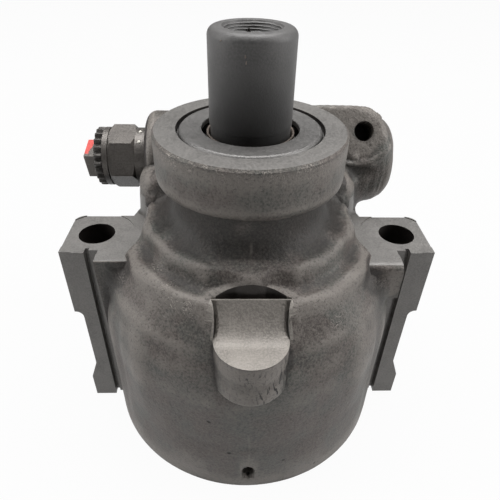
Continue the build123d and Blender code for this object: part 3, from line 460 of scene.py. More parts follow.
def shaft_material(name, colours):
    """Turned and blasted steel, darkened low on its front towards the seal by painted shade and a painted
    reflection of the dark nose.
    """
    material, tree, shader, place = new_material(name)
    blasted = use_group(tree, "Blasted grain", Vector=place)
    grained = grained_colour(tree, blasted, colours.shaft, 0.8, 1.06, 1.5)
    parts = node(tree, "ShaderNodeSeparateXYZ", {"Vector": place})
    low = smooth_step(tree, parts.outputs["Z"], SHAFT_TOP_Z + 0.004, SHAFT_TOP_Z - 0.017)
    front = smooth_step(tree, parts.outputs["Y"], 0.001, -0.0075)
    # Painted shade and dark reflection, low on the shaft's front
    front_shade = math_node(tree, "MULTIPLY", math_node(tree, "MULTIPLY", low, front), 0.9)
    front_shaded = mix_colour(tree, front_shade, grained, shade(colours.shaft, 0.12))
    rough = math_node(tree, "MULTIPLY_ADD", blasted["Speck"], 0.14, 0.48)
    feed(tree, shader, {"Base Color": front_shaded, "Roughness": rough, "Metallic": 0.3})
    bump(tree, shader, blasted["Height"], 0.00004)
    return material


def plug_material(name, colours):
    """Dark plug with a red daub on its upper facet."""
    material, tree, shader, place = new_material(name)
    blasted = use_group(tree, "Blasted grain", Vector=place)
    speck = math_node(tree, "MULTIPLY", blasted["Speck"], 0.5)
    metal = mix_colour(tree, speck, shade(colours.fitting, 0.8), shade(colours.fitting, 1.5))
    parts = node(tree, "ShaderNodeSeparateXYZ", {"Vector": place})
    wander = math_node(tree, "SUBTRACT", noise_value(tree, place, 700.0, 3.0, 0.6), 0.5)
    along = math_node(tree, "MULTIPLY_ADD", wander, 0.0012, parts.outputs["X"])
    limit = math_node(tree, "MULTIPLY_ADD", parts.outputs["Y"], DAUB_SLANT, DAUB_EDGE_X)
    inside = smooth_step(tree, math_node(tree, "SUBTRACT", limit, along), -0.0001, 0.0001)
    high = smooth_step(tree, parts.outputs["Z"], DAUB_LOW_Z, DAUB_LOW_Z + 0.0002)
    daub = math_node(tree, "MULTIPLY", high, inside)
    results = {
        "Base Color": mix_colour(tree, daub, metal, shade(colours.paint)),
        "Roughness": math_node(tree, "MULTIPLY_ADD", blasted["Speck"], 0.14, 0.4),
        "Metallic": math_node(tree, "MULTIPLY_ADD", daub, -0.5, 0.5),
    }
    feed(tree, shader, results)
    bump(tree, shader, blasted["Height"], 0.00006)
    return material


def make_materials(colours):
    """Every material of the pump, by its name."""
    skin_group()
    seam_group()
    grain_group()
    return {
        "cast": cast_material("Cast iron skin", colours),
        "machined": blasted_material("Machined iron", colours.machined, 0.5, 0.35),
        "lug": blasted_material("Lug face", colours.lug_face, 0.5, 0.3),
        # Bored iron at 0.3 of the cast colour: painted shade in holes, bores and the lug's pocket
        "bore": blasted_material("Bored iron in painted shade", shade(colours.cast, 0.3), 0.5, 0.3),
        "shaft": shaft_material("Turned shaft", colours),
        "seal": blasted_material("Pressed seal case", colours.seal, 0.45, 0.5, relief=0.00004),
        "fitting": blasted_material("Coated fitting", colours.fitting, 0.42, 0.5, darker_below_z=FITTING_DARK_BELOW_Z),
        "dark_fitting": blasted_material("Dark lock ring", shade(colours.fitting, 0.5), 0.45, 0.4),
        "plug": plug_material("Daubed plug", colours),
        # Light bare metal of the crimp dents, partly painted glints
        "bare_glint": blasted_material("Bare metal glint", (0.55, 0.53, 0.48), 0.45, 0.2),
        "rubber": blasted_material("Seal rubber", (0.03, 0.029, 0.028), 0.55, 0.0),
        # Light lip colour: painted highlight on the rubber lip; the shaft's nicks share this material
        "lip": blasted_material("Lip rim highlight and nicks", (0.17, 0.14, 0.12), 0.5, 0.3),
        "plain_steel": blasted_material("Plain steel", (0.3, 0.3, 0.3), 0.35, 0.9, relief=0.00002),
        "ground_steel": blasted_material("Ground steel", (0.45, 0.45, 0.44), 0.25, 1.0, relief=0.00001),
        "spring": blasted_material("Spring steel", (0.16, 0.16, 0.17), 0.35, 0.8, relief=0.00002),
        "sintered": blasted_material("Sintered iron", (0.22, 0.21, 0.2), 0.5, 0.6),
        "bronze": blasted_material("Bearing bronze", (0.42, 0.27, 0.12), 0.4, 0.9, relief=0.00003),
    }


# Mesh tools


def cad_copy(name):
    """Merged copy of a CAD node's mesh."""
    mesh = bmesh.new()
    mesh.from_mesh(frame["nodes"][name].data)
    bmesh.ops.remove_doubles(mesh, verts=mesh.verts, dist=0.002 * MM)
    return mesh


def at(place):
    """Matrix that moves to a place given in millimetres."""
    return Matrix.Translation(Vector(place) * MM)


def split_long_edges(mesh, wanted, longest):
    """Splits the wanted faces until their edges are no longer than the longest allowed."""
    for _ in range(9):
        long_edges = set()
        for face in mesh.faces:
            if wanted(face):
                long_edges.update(e for e in face.edges if e.calc_length() > longest)
        if not long_edges:
            return
        bmesh.ops.subdivide_edges(mesh, edges=list(long_edges), cuts=1, use_single_edge=True)
        bmesh.ops.triangulate(mesh, faces=[f for f in mesh.faces if len(f.verts) > 3])


def sharp_points(mesh, kind, least, step):
    """Points along the sharp edges of a mesh: kind is 1 for outside corners and -1 for inside ones."""
    points = []
    for edge in mesh.edges:
        if len(edge.link_faces) != 2:
            continue
        angle = edge.calc_face_angle_signed(0.0)
        if angle * kind < least:
            continue
        first, last = edge.verts[0].co, edge.verts[1].co
        parts = max(1, ceil((last - first).length / step))
        points.extend(first.lerp(last, i / parts) for i in range(parts + 1))
    tree = KDTree(len(points))
    for index, point in enumerate(points):
        tree.insert(point, index)
    tree.balance()
    return tree


def set_attribute(data, name, values):
    """Stores one number a vertex."""
    attribute = data.attributes.new(name, "FLOAT", "POINT")
    attribute.data.foreach_set("value", values)


def smooth_by_angle(mesh, limit):
    """Smooth shading, with edges over the angle kept sharp."""
    for face in mesh.faces:
        face.smooth = True
    for edge in mesh.edges:
        edge.smooth = len(edge.link_faces) == 2 and edge.calc_face_angle(pi) < limit


def new_piece(name, mesh, materials, body, replaced=()):
    """Makes an object of a mesh, with its materials, riding on a body."""
    data = bpy.data.meshes.new(name)
    mesh.to_mesh(data)
    mesh.free()
    piece = bpy.data.objects.new(name, data)
    bpy.context.scene.collection.objects.link(piece)
    for material in materials:
        data.materials.append(material)
    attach(piece, body)
    if replaced:
        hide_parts(*replaced)
    return piece


# Casting


def casting_finish(face):
    """Which finish a face of the casting has, from its place and direction."""
    centre = face.calc_center_median()
    normal = face.normal
    x, y, z = centre / MM
    radius = hypot(x, y)
    outward = normal.dot(Vector((x, y, 0.0)).normalized())
    ear_distance = hypot(abs(x) - EAR_X / MM, y - EAR_Y / MM)
    valve_distance = hypot(y - VALVE_Y / MM, z - VALVE_Z / MM)
    tab_offset = centre - TAB_HOLE
    tab_distance = (tab_offset - tab_offset.dot(TAB_AXIS) * TAB_AXIS).length / MM
    ear_top = EAR_TOP_Z / MM
    lug_top = LUG_TOP_Z / MM
    tab_depth = -tab_offset.dot(TAB_AXIS) / MM
    # Face of the nose
    if z > NOSE_FACE_Z / MM - 0.05 and 14 < radius < 21 and normal.z > 0.9:
        return MACHINED
    # Bolt holes of the ears
    if ear_distance < 4.3 and abs(normal.z) < 0.5 and abs(x) > 20:
        return BORED
    # Tops of the ears
    if abs(x) > 22 and normal.z > 0.9 and abs(z - ear_top) < 0.3:
        return MACHINED
    # Round walls cut into the body behind the ears' tops
    if abs(x) > 22 and y < 10 and z > ear_top and 12.1 < ear_distance < 12.5:
        return MACHINED
    # Milled fronts of the ears
    if abs(x) > 33.9 and y < -6.5 and z < ear_top:
        return MACHINED
    # Face of the lug, and the walls beside it
    if abs(x) < 8.1 and y < -25.4 and z > lug_top - 0.02:
        return PALE if abs(normal.x) < 0.6 else MACHINED
    # Back of the lug's pocket, dark bored finish as painted shade
    if abs(x) < 8.1 and -25.6 < y < -24.3 and 46.7 < z < 56 and (abs(normal.z) < 0.1 or z < 46.9):
        return BORED
    # Rear rim
    if z < 0.1 and normal.z < -0.9:
        return MACHINED
    # Chambers and bores of the body and the neck
    if radius < 29.6 and z < 43.2 and outward <= 0.05:
        return BORED
    if radius < 15.7 and z > 40 and outward < 0.0:
        return BORED
    # Blind hole of the tab, with a pale floor
    if tab_distance < 2.6 and 0.05 < tab_depth < 12.0:
        return PALE if tab_depth > 6.5 else BORED
    # Face of the inlet
    if y > 38 and normal.y > 0.9:
        return MACHINED
    # Seat of the outlet fitting
    if valve_distance < 11.2 and x < -23:
        return BORED
    return CAST


def hidden_inside(face):
    """True for the walls deep inside the casting, which no view shows."""
    centre = face.calc_center_median()
    radius = Vector(centre[:2]).length
    deep = radius < 29 * MM and 6 * MM < centre.z < 68 * MM and face.material_index == BORED
    return deep and abs(centre.x) < 29 * MM and not centre.y < -24.3 * MM


def beside_lug(place):
    """True on the lug's walls and around its pocket, which keep their tight corners."""
    x, y, z = place / MM
    return (abs(x) < 10.0 and y < -29.0 and 28.0 < z < 46.5) or (abs(x) < 11.0 and y < -22.5 and z > 44.0)


def cast_outside(face):
    """True on the cast skin that a view can show."""
    return face.material_index == CAST and not hidden_inside(face)


def finely_shaped(face):
    """True where the casting wants a finer mesh: on the lug's pale face and along the tab's lower edge."""
    if face.material_index == PALE:
        return True
    centre = face.calc_center_median()
    x, y, z = centre / MM
    if not (21.0 < x < 38.0 and 7.0 < y < 18.0 and 56.0 < z < 71.0):
        return False
    return line_distance(centre / MM, TAB_BEAD) < 3.0


def on_right_boss(place):
    """True on the rounded end of the valve housing, under the tab."""
    x, y, z = place / MM
    return x > 26.0 and 9.0 < y < 36.0 and 44.0 < z < 65.0 and (place - TAB_HOLE).length > 9.0 * MM


def lug_scoop(place):
    """Height of the lug's pale face: flat in front, rising in one hollow curve to the crest behind."""
    share = (place.y - SCOOP_FRONT_Y) / SCOOP_LENGTH
    if place.z > LUG_TOP_Z + SCOOP_RISE - 0.05 * MM or not 0.0 < share < 1.0:
        return place.z
    inner = min(1.0, max(0.0, (LUG_HALF_WIDTH - abs(place.x)) / MM))
    return place.z + (LUG_TOP_Z + SCOOP_RISE * share * share - place.z) * inner


def pocket_widening(place):
    """How far back the rim of the lug's pocket lies at its sides, in millimetres."""
    x, y, z = place
    if not (-25.3 < y < -19.0 and 48.0 < z < 58.0):
        return 0.0
    fade = min(1.0, (y + 25.3) / 0.7) * min(1.0, (-19.0 - y) / 4.5)
    fade *= min(1.0, (z - 48.0) / 1.5) * min(1.0, (58.0 - z) / 3.0)
    return 1.35 * band(abs(x), 5.5, 4.6) * fade


# Slow forms of the cast skin, in millimetres: middle, reach along x, y and z, and height.
# Those off the middle plane are on both sides.
SWELLS = (
    ((24.0, -25.5, 32.0), (5.0, 6.5, 17.0), 0.6),
    ((30.4, -18.6, 27.0), (3.2, 4.2, 25.0), -0.75),
    ((15.0, -32.0, 24.0), (7.0, 5.0, 12.0), -0.3),
    ((13.5, -33.5, 8.0), (8.0, 5.0, 6.5), 0.35),
    ((27.0, -23.5, 7.0), (6.0, 5.0, 6.0), 0.3),
    ((19.5, -17.0, 52.5), (5.0, 5.0, 4.0), 0.45),
    ((26.5, -9.0, 47.5), (3.4, 3.6, 5.0), 0.5),
    ((23.5, -6.5, 55.0), (3.5, 5.0, 4.0), 0.6),
    ((17.5, -11.5, 57.5), (4.0, 4.0, 5.0), 0.5),
    ((18.8, -4.0, 61.0), (3.0, 5.0, 6.0), -0.5),
)

# Forms on one side only
SIDE_FORMS = (
    ((26.5, 10.3, 60.9), (6.5, 4.0, 2.2), -0.8),
    ((25.5, 11.0, 57.5), (4.5, 4.0, 4.0), -0.5),
    ((25.9, 11.6, 64.6), (1.5, 1.5, 1.1), 0.45),
    ((24.0, 11.4, 64.4), (1.2, 1.4, 1.1), -0.4),
    ((23.0, 17.5, 68.0), (1.6, 2.0, 1.6), -0.3),
    ((25.5, 19.5, 71.5), (2.2, 2.0, 1.6), -0.35),
    ((33.0, 17.0, 67.5), (2.0, 2.0, 4.0), -0.25),
)

# Bead along the lower edge of the tab, in millimetres
TAB_BEAD = (
    (23.0, 10.8, 62.6),
    (27.3, 10.5, 63.3),
    (30.1, 10.9, 63.5),
    (32.3, 11.5, 64.7),
    (33.6, 12.4, 65.6),
    (34.8, 13.8, 66.5),
)

# Ragged places of the skin: middle and reach in millimetres, and how strong
BURRS = (
    ((-26.5, -13.0, 47.0), (4.0, 4.0, 3.0), 0.7),
    ((29.0, -13.0, 46.5), (6.0, 3.0, 2.5), 0.7),
    ((-19.3, -16.8, 52.8), (2.2, 2.2, 2.2), 1.7),
    ((-16.5, -21.6, 52.0), (2.4, 2.4, 2.4), 1.7),
    ((-15.5, -25.1, 50.1), (2.2, 2.2, 2.2), 1.7),
    ((-12.5, -26.5, 50.2), (2.6, 2.6, 2.6), 1.7),
    ((18.0, -26.2, 46.1), (2.4, 2.4, 2.4), 0.9),
)
SCRATCHES = (
    ((4.0, -37.0, 38.0), (5.5, 4.0, 4.2), 1.6),
    ((6.5, -34.5, 42.0), (2.4, 4.0, 4.5), 1.6),
    ((-6.0, -36.0, 37.0), (3.0, 3.5, 3.0), 0.9),
    ((0.0, -38.2, 43.0), (6.0, 2.0, 3.0), 0.8),
    ((-19.0, -31.0, 14.0), (2.5, 3.0, 2.5), 0.5),
    ((21.0, -29.5, 10.0), (2.5, 3.0, 2.5), 0.5),
)


def lump(place, middle, reach):
    """1 at the middle of a rounded lump, falling to 0 at its reach."""
    far = sum(((place[i] - middle[i]) / reach[i]) ** 2 for i in range(3))
    return (1.0 - far) ** 2 if far < 1.0 else 0.0


def band(value, middle, half_width):
    """1 at the middle of a band, falling to 0 at its sides."""
    far = abs(value - middle) / half_width
    return (1.0 - far * far) ** 2 if far < 1.0 else 0.0


def line_distance(place, points):
    """Distance from a place to a line through points, in millimetres."""
    place = Vector(place)
    best = 1000.0
    for first, last in zip(points, points[1:]):
        nearest, share = intersect_point_line(place, first, last)
        nearest = Vector(first).lerp(Vector(last), min(1.0, max(0.0, share)))
        best = min(best, (nearest - place).length)
    return best


def spots(place, listed):
    """Strongest of the listed spots at a place."""
    return max(lump(place, middle, reach) * strength for middle, reach, strength in listed)


def skin_height(place):
    """How far the slow forms of the casting stand out at a place, in millimetres."""
    x, y, z = place
    radius = hypot(x, y)
    mirrored = (abs(x), y, z)
    height = sum(lump(mirrored, middle, reach) * rise for middle, reach, rise in SWELLS)
    height += sum(lump(place, middle, reach) * rise for middle, reach, rise in SIDE_FORMS)
    if x > 21.0 and 7.0 < y < 18.0 and 58.0 < z < 70.0:
        height += 0.7 * band(line_distance(place, TAB_BEAD), 0.0, 1.2)
    wave = noise.noise(Vector((x * 0.11, y * 0.11, z * 0.11)))
    if y < 4.0 and 44.0 < z < 60.0:
        clear_of_lug = min(1.0, max(0.0, (hypot(x, min(0.0, y + 26.0)) - LUG_HALF_WIDTH / MM) / 3.0))
        rings = 0.42 * band(radius, 22.7, 1.5) - 0.75 * band(radius, 25.2, 2.0)
        rings += 0.5 * band(radius, 28.3, 1.8) - 0.45 * band(radius, 31.4, 2.2)
        height += rings * (0.85 + 0.7 * wave) * clear_of_lug
    if radius > 33.0 and z < 46.0:
        steps = -0.3 * band(z, 40.8, 2.4) - 0.32 * band(z, 16.0, 1.8) + 0.2 * band(z, 3.0, 2.6)
        height += steps * (0.7 + 1.2 * wave)
    return height


def nose_burr(place):
    """How frayed the front edge of the nose is, in clumps along the edge."""
    x, y, z = place
    depth = NOSE_FACE_Z / MM - z
    if y > -9.0 or not -0.2 < depth < 3.2 or hypot(x, y) < 19.5:
        return 0.0
    clump = 0.75 + 1.6 * noise.noise(Vector((x * 0.3, 4.0, depth * 0.3)))
    return max(0.0, clump) * min(1.0, (3.2 - depth) / 1.6)


def neck_scale_and_shade(place):
    """How much the neck under the nose is darkened: partly dark scale, partly painted shade under the nose.
    """
    x, y, z = place
    radius = hypot(x, y)
    if radius > 24.0 or y > 8.0:
        return 0.0
    wave = noise.noise(Vector((x * 0.2, y * 0.2, z * 0.2)))
    return max(0.0, 1.3 * band(z, 61.8, 6.6) * (1.0 + 0.8 * wave))


def relax(mesh, verts, rounds):
    """Smooths vertices a number of times."""
    for _ in range(rounds):
        bmesh.ops.smooth_vert(
            mesh, verts=verts, factor=0.5, use_axis_x=True, use_axis_y=True, use_axis_z=True
        )


def stand_out(mesh, rounds):
    """How far each vertex stands out of a smoothed copy of the mesh, in millimetres."""
    smooth = mesh.copy()
    relax(smooth, smooth.verts, rounds)
    out = [(v.co - s.co).dot(v.normal) / MM for v, s in zip(mesh.verts, smooth.verts)]
    smooth.free()
    return out


def build_casting(settings, materials):
    """Cast housing: blends at its inside corners, an uneven skin, and clean machined faces."""
    mesh = cad_copy("housing")
    mesh.normal_update()
    for face in mesh.faces:
        face.material_index = casting_finish(face)
    inside = sharp_points(mesh, -1, radians(25), 0.5 * MM)
    outside = sharp_points(mesh, 1, radians(38), 0.2 * MM)
    split_long_edges(mesh, cast_outside, settings.mesh_step * (1.0))
    split_long_edges(mesh, finely_shaped, 0.5 * settings.mesh_step)
    mesh.normal_update()

    # Blends at the inside corners, away from the clean faces
    fixed = [v.co for v in mesh.verts if any(f.material_index != CAST for f in v.link_faces)]
    clean = KDTree(len(fixed))
    for index, place in enumerate(fixed):
        clean.insert(place, index)
    clean.balance()
    free = [v for v in mesh.verts if all(f.material_index == CAST for f in v.link_faces)]
    reach = settings.blend_reach
    soft = [v for v in free if not beside_lug(v.co) and clean.find(v.co)[2] > 2.2 * MM]
    relax(mesh, [v for v in soft if inside.find(v.co)[2] < reach], 12)
    relax(mesh, soft, 2)
    relax(mesh, [v for v in free if on_right_boss(v.co)], 22)

    # Lug, pocket and the slow forms of the skin
    for vertex in mesh.verts:
        if all(f.material_index == PALE for f in vertex.link_faces):
            vertex.co.z = lug_scoop(vertex.co)
        vertex.co.y += pocket_widening(vertex.co / MM) * MM
    mesh.normal_update()
    for vertex in free:
        near_clean = min(1.0, max(0.0, clean.find(vertex.co)[2] / MM - 0.6) / 1.8)
        vertex.co += vertex.normal * skin_height(vertex.co / MM) * near_clean * MM
    relax(mesh, soft, 1)
    mesh.normal_update()

    height = settings.unevenness
    for vertex in free:
        slow = noise.noise(vertex.co * 110.0)
        quick_wave = noise.noise(vertex.co * 420.0 + Vector((5.0, 1.0, 3.0)))
        near_clean = min(1.0, clean.find(vertex.co)[2] / (2.5 * MM))
        vertex.co += vertex.normal * (slow + quick_wave * 0.35 - 0.3) * height * near_clean

    # No further out than the CAD box
    widest = cad_box[1][0] - 0.02 * MM
    foremost = cad_box[0][1] + 0.02 * MM
    for vertex in mesh.verts:
        vertex.co.x = min(widest, max(-widest, vertex.co.x))
        vertex.co.y = max(foremost, vertex.co.y)
    mesh.normal_update()

    # What the cast material reads: how far the skin stands out, which sets the painted highlight on crests
    # and the painted shade in hollows and under the nose, and its ragged and scratched places
    outs = stand_out(mesh, 24)
    relief = []
    for out, vertex in zip(outs, mesh.verts):
        most = 0.25 if outside.find(vertex.co)[2] < 0.7 * MM else 1.0
        above_pocket = abs(vertex.co.x) < 9.5 * MM and -27.0 * MM < vertex.co.y < -20.0 * MM
        least = -0.15 if above_pocket else -1.0
        # Darker under the nose: partly dark scale, partly painted shade
        relief.append(max(least, min(most, out / 0.5 - neck_scale_and_shade(vertex.co / MM))))
    burr = [max(spots(v.co / MM, BURRS), nose_burr(v.co / MM)) for v in mesh.verts]
    scratch = [spots(v.co / MM, SCRATCHES) for v in mesh.verts]
    smooth_by_angle(mesh, radians(32))
    by_finish = [materials[name] for name in ("cast", "machined", "bore", "lug")]
    piece = new_piece("cast_housing", mesh, by_finish, "housing_group", ["housing"])
    set_attribute(piece.data, "relief", relief)
    set_attribute(piece.data, "burr", burr)
    set_attribute(piece.data, "scratch", scratch)


def soft_copy(name, node_name, material, body, edge_width, segments=2, change=None, rounds=0):
    """Copy of a turned or milled CAD piece, changed if wanted, with its sharp edges rounded off."""
    mesh = cad_copy(node_name)
    if change:
        change(mesh)
    bmesh.ops.dissolve_limit(
        mesh, angle_limit=radians(0.6), verts=mesh.verts, edges=mesh.edges, use_dissolve_boundaries=False
    )
    sharp = [e for e in mesh.edges if len(e.link_faces) == 2 and e.calc_face_angle(0.0) > radians(28)]
    bmesh.ops.bevel(
        mesh,
        geom=sharp,
        offset=edge_width,
        offset_type="OFFSET",
        affect="EDGES",
        segments=segments,
        profile=0.5,
        material=-1,
        clamp_overlap=True,
    )
    if rounds:
        bmesh.ops.remove_doubles(mesh, verts=mesh.verts, dist=0.001 * MM)
        bmesh.ops.triangulate(mesh, faces=mesh.faces)
        split_long_edges(mesh, lambda face: True, 0.7 * MM)
        relax(mesh, mesh.verts, rounds)
    smooth_by_angle(mesh, radians(32))
    piece = new_piece(name, mesh, [material], body, [node_name])
    piece.modifiers.new("even shading", "WEIGHTED_NORMAL").keep_sharp = True


def square_plug_head(mesh):
    """Gives the plug a plain square head, whose upper facet leans a little to the front."""
    left = min(v.co.x for v in mesh.verts)
    bmesh.ops.delete(mesh, geom=[v for v in mesh.verts if v.co.x < PLUG_HEAD_X], context="VERTS")
    open_edges = [e for e in mesh.edges if len(e.link_faces) == 1]
    bmesh.ops.holes_fill(mesh, edges=open_edges, sides=0)
    length = PLUG_HEAD_X - left
    middle = Matrix.Translation((left + length / 2, VALVE_Y - 0.3 * MM, VALVE_Z - 0.5 * MM))
    bmesh.ops.create_cone(
        mesh,
        cap_ends=True,
        segments=4,
        radius1=4.85 * MM,
        radius2=4.85 * MM,
        depth=length,
        matrix=middle @ Matrix.Rotation(radians(60.0), 4, "X") @ Matrix.Rotation(radians(90), 4, "Y"),
    )


def build_crimp_marks(materials):
    """Two dents where the fitting is crimped, bright as bare metal and as painted glints."""
    mesh = bmesh.new()
    for angle in (99, 127):
        turn = Matrix.Rotation(radians(angle), 4, "X")
        aside = 7.25 * cos(radians(angle))
        above = 7.25 * sin(radians(angle))
        place = (-27.2, VALVE_Y / MM + aside, VALVE_Z / MM + above)
        flat = Matrix.Diagonal((0.5, 0.4, 0.6, 1.0))
        bmesh.ops.create_icosphere(mesh, subdivisions=2, radius=MM, matrix=at(place) @ turn @ flat)
    smooth_by_angle(mesh, radians(60))
    new_piece("crimp_marks", mesh, [materials["bare_glint"]], "housing_group")


# Nicks on the shaft in millimetres: middle, half width and half height
SHAFT_NICKS = (
    ((-5.6, -6.3, 94.4), (0.3, 0.15)),
    ((-1.75, -8.15, 93.2), (0.3, 0.2)),
    ((-1.45, -8.32, 92.3), (0.16, 0.35)),
    ((-1.3, -8.34, 91.3), (0.12, 0.4)),
)


def spun_ring(mesh, section):
    """Closed ring about the Z axis from a section of (radius, height) points, in metres."""
    corners = [mesh.verts.new((radius, 0.0, height)) for radius, height in section]
    outline = [mesh.edges.new(pair) for pair in zip(corners, corners[1:] + corners[:1])]
    bmesh.ops.spin(
        mesh,
        geom=outline + corners,
        cent=(0, 0, 0),
        axis=(0, 0, 1),
        angle=2 * pi,
        steps=96,
        use_merge=True,
        use_duplicate=False,
    )


def build_lip_rim(materials):
    """Thin rim of the seal's lip, close around the shaft, coloured light as a painted highlight."""
    mesh = bmesh.new()
    low = NOSE_FACE_Z - 2.65 * MM
    high = NOSE_FACE_Z - 0.85 * MM
    inner = 8.62 * MM
    section = [(inner, low), (inner, high - 0.15 * MM), (8.8 * MM, high), (9.1 * MM, high), (9.25 * MM, low)]
    spun_ring(mesh, section)
    bmesh.ops.recalc_face_normals(mesh, faces=mesh.faces)
    smooth_by_angle(mesh, radians(32))
    new_piece("lip_rim", mesh, [materials["lip"]], "housing_group")


def build_mouth_turns(materials):
    """First worn turns of the thread, on the cone of the shaft's mouth."""
    mesh = bmesh.new()
    # Rise of the mouth's cone, which stands at 30 degrees to the shaft
    slope = 0.5774
    for depth in (0.5, 1.0, 1.5, 2.0, 2.5):
        wall = 5.8 - slope * depth
        section = [
            ((wall + slope * 0.17 + 0.05) * MM, SHAFT_TOP_Z - (depth - 0.17) * MM),
            ((wall - 0.16) * MM, SHAFT_TOP_Z - depth * MM),
            ((wall - slope * 0.17 + 0.05) * MM, SHAFT_TOP_Z - (depth + 0.17) * MM),
        ]
        spun_ring(mesh, section)
    bmesh.ops.recalc_face_normals(mesh, faces=mesh.faces)
    for vertex in mesh.verts:
        wobble = noise.noise(vertex.co * 700.0)
        vertex.co.z += wobble * 0.1 * MM
    smooth_by_angle(mesh, radians(32))
    new_piece("mouth_turns", mesh, [materials["shaft"]], "rotating_group")


def build_mouth_shade_and_nicks(materials):
    """Dark cones at the start of the thread, as painted shade of the deep bore between its first turns, and
    light nicks on the shaft's rim.
    """
    mesh = bmesh.new()
    # Painted shade: dark cones where the deep bore shows between the thread's first turns
    for place, size in (((-0.6, 4.55, 94.0), 0.62), ((3.5, 3.1, 93.95), 0.4)):
        bmesh.ops.create_cone(
            mesh,
            cap_ends=True,
            segments=3,
            radius1=size * MM,
            radius2=size * 0.8 * MM,
            depth=0.3 * MM,
            matrix=at(place) @ Matrix.Rotation(radians(90), 4, "X"),
        )
    new_piece("mouth_shade_notches", mesh, [materials["bore"]], "rotating_group")
    mesh = bmesh.new()
    for place, size in SHAFT_NICKS:
        flat = Matrix.Diagonal((size[0], 0.12, size[1], 1.0))
        bmesh.ops.create_icosphere(mesh, subdivisions=2, radius=MM, matrix=at(place) @ flat)
    smooth_by_angle(mesh, radians(60))
    new_piece("shaft_nicks", mesh, [materials["lip"]], "rotating_group")


def build_thread(materials):
    """Ridge of the thread in the shaft's tapped bore."""
    wall = 4.25 * MM
    crest = 3.6 * MM
    pitch = 1.25 * MM
    top = SHAFT_TOP_Z - 3.3 * MM
    turns = 14
    mesh = bmesh.new()
    section = ((wall, 0.0), (crest, 0.42), (crest, 0.52), (wall, 0.94))
    face = mesh.faces.new([mesh.verts.new((radius, 0, top - share * pitch)) for radius, share in section])
    steps_a_turn = 40
    bmesh.ops.spin(
        mesh,
        geom=[face, *face.edges, *face.verts],
        cent=(0, 0, 0),
        axis=(0, 0, 1),
        dvec=(0, 0, -pitch / steps_a_turn),
        angle=2 * pi * turns,
        steps=steps_a_turn * turns,
        use_duplicate=False,
    )
    bmesh.ops.recalc_face_normals(mesh, faces=mesh.faces)
    smooth_by_angle(mesh, radians(30))
    new_piece("shaft_thread", mesh, [materials["shaft"]], "rotating_group")


class PUMP_OT_casting(bpy.types.Operator):
    """Builds the cast housing"""

    bl_idname = "pump.casting"
    bl_label = "Cast housing"

    def execute(self, context):
        build_casting(context.scene.pump_casting, pump_materials())
        return {"FINISHED"}


class PUMP_OT_shaft(bpy.types.Operator):
    """Finishes the drive shaft and its tapped bore"""

    bl_idname = "pump.shaft"
    bl_label = "Drive shaft"

    def execute(self, context):
        materials = pump_materials()
        soft_copy("shaft_end", "drive_shaft", materials["shaft"], "rotating_group", 0.15 * MM)
        build_thread(materials)
        build_mouth_turns(materials)
        build_mouth_shade_and_nicks(materials)
        return {"FINISHED"}


class PUMP_OT_seal(bpy.types.Operator):
    """Finishes the shaft seal"""

    bl_idname = "pump.seal"
    bl_label = "Shaft seal"

    def execute(self, context):
        materials = pump_materials()
        soft_copy("seal_disc", "seal_case", materials["seal"], "housing_group", 0.35 * MM, 3)
        soft_copy("seal_rubber", "seal_lip", materials["rubber"], "housing_group", 0.15 * MM)
        build_lip_rim(materials)
        return {"FINISHED"}


class PUMP_OT_outlet(bpy.types.Operator):
    """Finishes the outlet fitting, its lock ring and plug"""

    bl_idname = "pump.outlet"
    bl_label = "Outlet fitting"

    def execute(self, context):
        materials = pump_materials()
        body = "housing_group"
        soft_copy("outlet_hexagon", "outlet_fitting", materials["fitting"], body, 0.25 * MM)
        soft_copy("beaded_ring", "lock_ring", materials["dark_fitting"], body, 0.2 * MM, rounds=4)
        plug = materials["plug"]
        soft_copy("plug_square", "port_plug", plug, body, 0.2 * MM, change=square_plug_head)
        build_crimp_marks(materials)
        return {"FINISHED"}


class PUMP_OT_inner_parts(bpy.types.Operator):
    """Gives the parts inside the pump their finish"""

    bl_idname = "pump.inner_parts"
    bl_label = "Inner parts"

    def execute(self, context):
        materials = pump_materials()
        by_slot = {
            "cover_steel": "plain_steel",
            "ground_steel": "ground_steel",
            "spring_steel": "spring",
            "sintered_iron": "sintered",
            "bearing_bronze": "bronze",
            "rubber": "rubber",
            "cast_iron": "cast",
            "shaft_steel": "shaft",
            "seal_steel": "seal",
            "fitting_steel": "fitting",
        }
        for part in frame["record"]["subparts"]:
            data = frame["nodes"][part["node"]].data
            data.materials.clear()
            data.materials.append(materials[by_slot[part["material_slot"]]])
        return {"FINISHED"}


def area_lamp(name, place, target, size, power):
    """Square soft lamp that faces a point."""
    light = bpy.data.lights.new(name, "AREA")
    light.shape = "RECTANGLE"
    light.size, light.size_y = size
    light.energy = power
    lamp = bpy.data.objects.new(name, light)
    lamp.location = place
    direction = Vector(target) - Vector(place)
    lamp.rotation_mode = "QUATERNION"
    lamp.rotation_quaternion = direction.to_track_quat("-Z", "Y")
    bpy.context.scene.collection.objects.link(lamp)


def white_to_camera(tree, lit, seen):
    """Emission that only camera, glossy and see-through rays meet, over a lit shader."""
    path = tree.nodes.new("ShaderNodeLightPath")
    direct = math_node(tree, "MAXIMUM", path.outputs["Is Camera Ray"], path.outputs["Is Glossy Ray"])
    share = math_node(tree, "MAXIMUM", direct, path.outputs["Is Transmission Ray"])
    return node(
        tree,
        "ShaderNodeMixShader",
        {0: math_node(tree, "MULTIPLY", share, seen), 1: lit},
    )


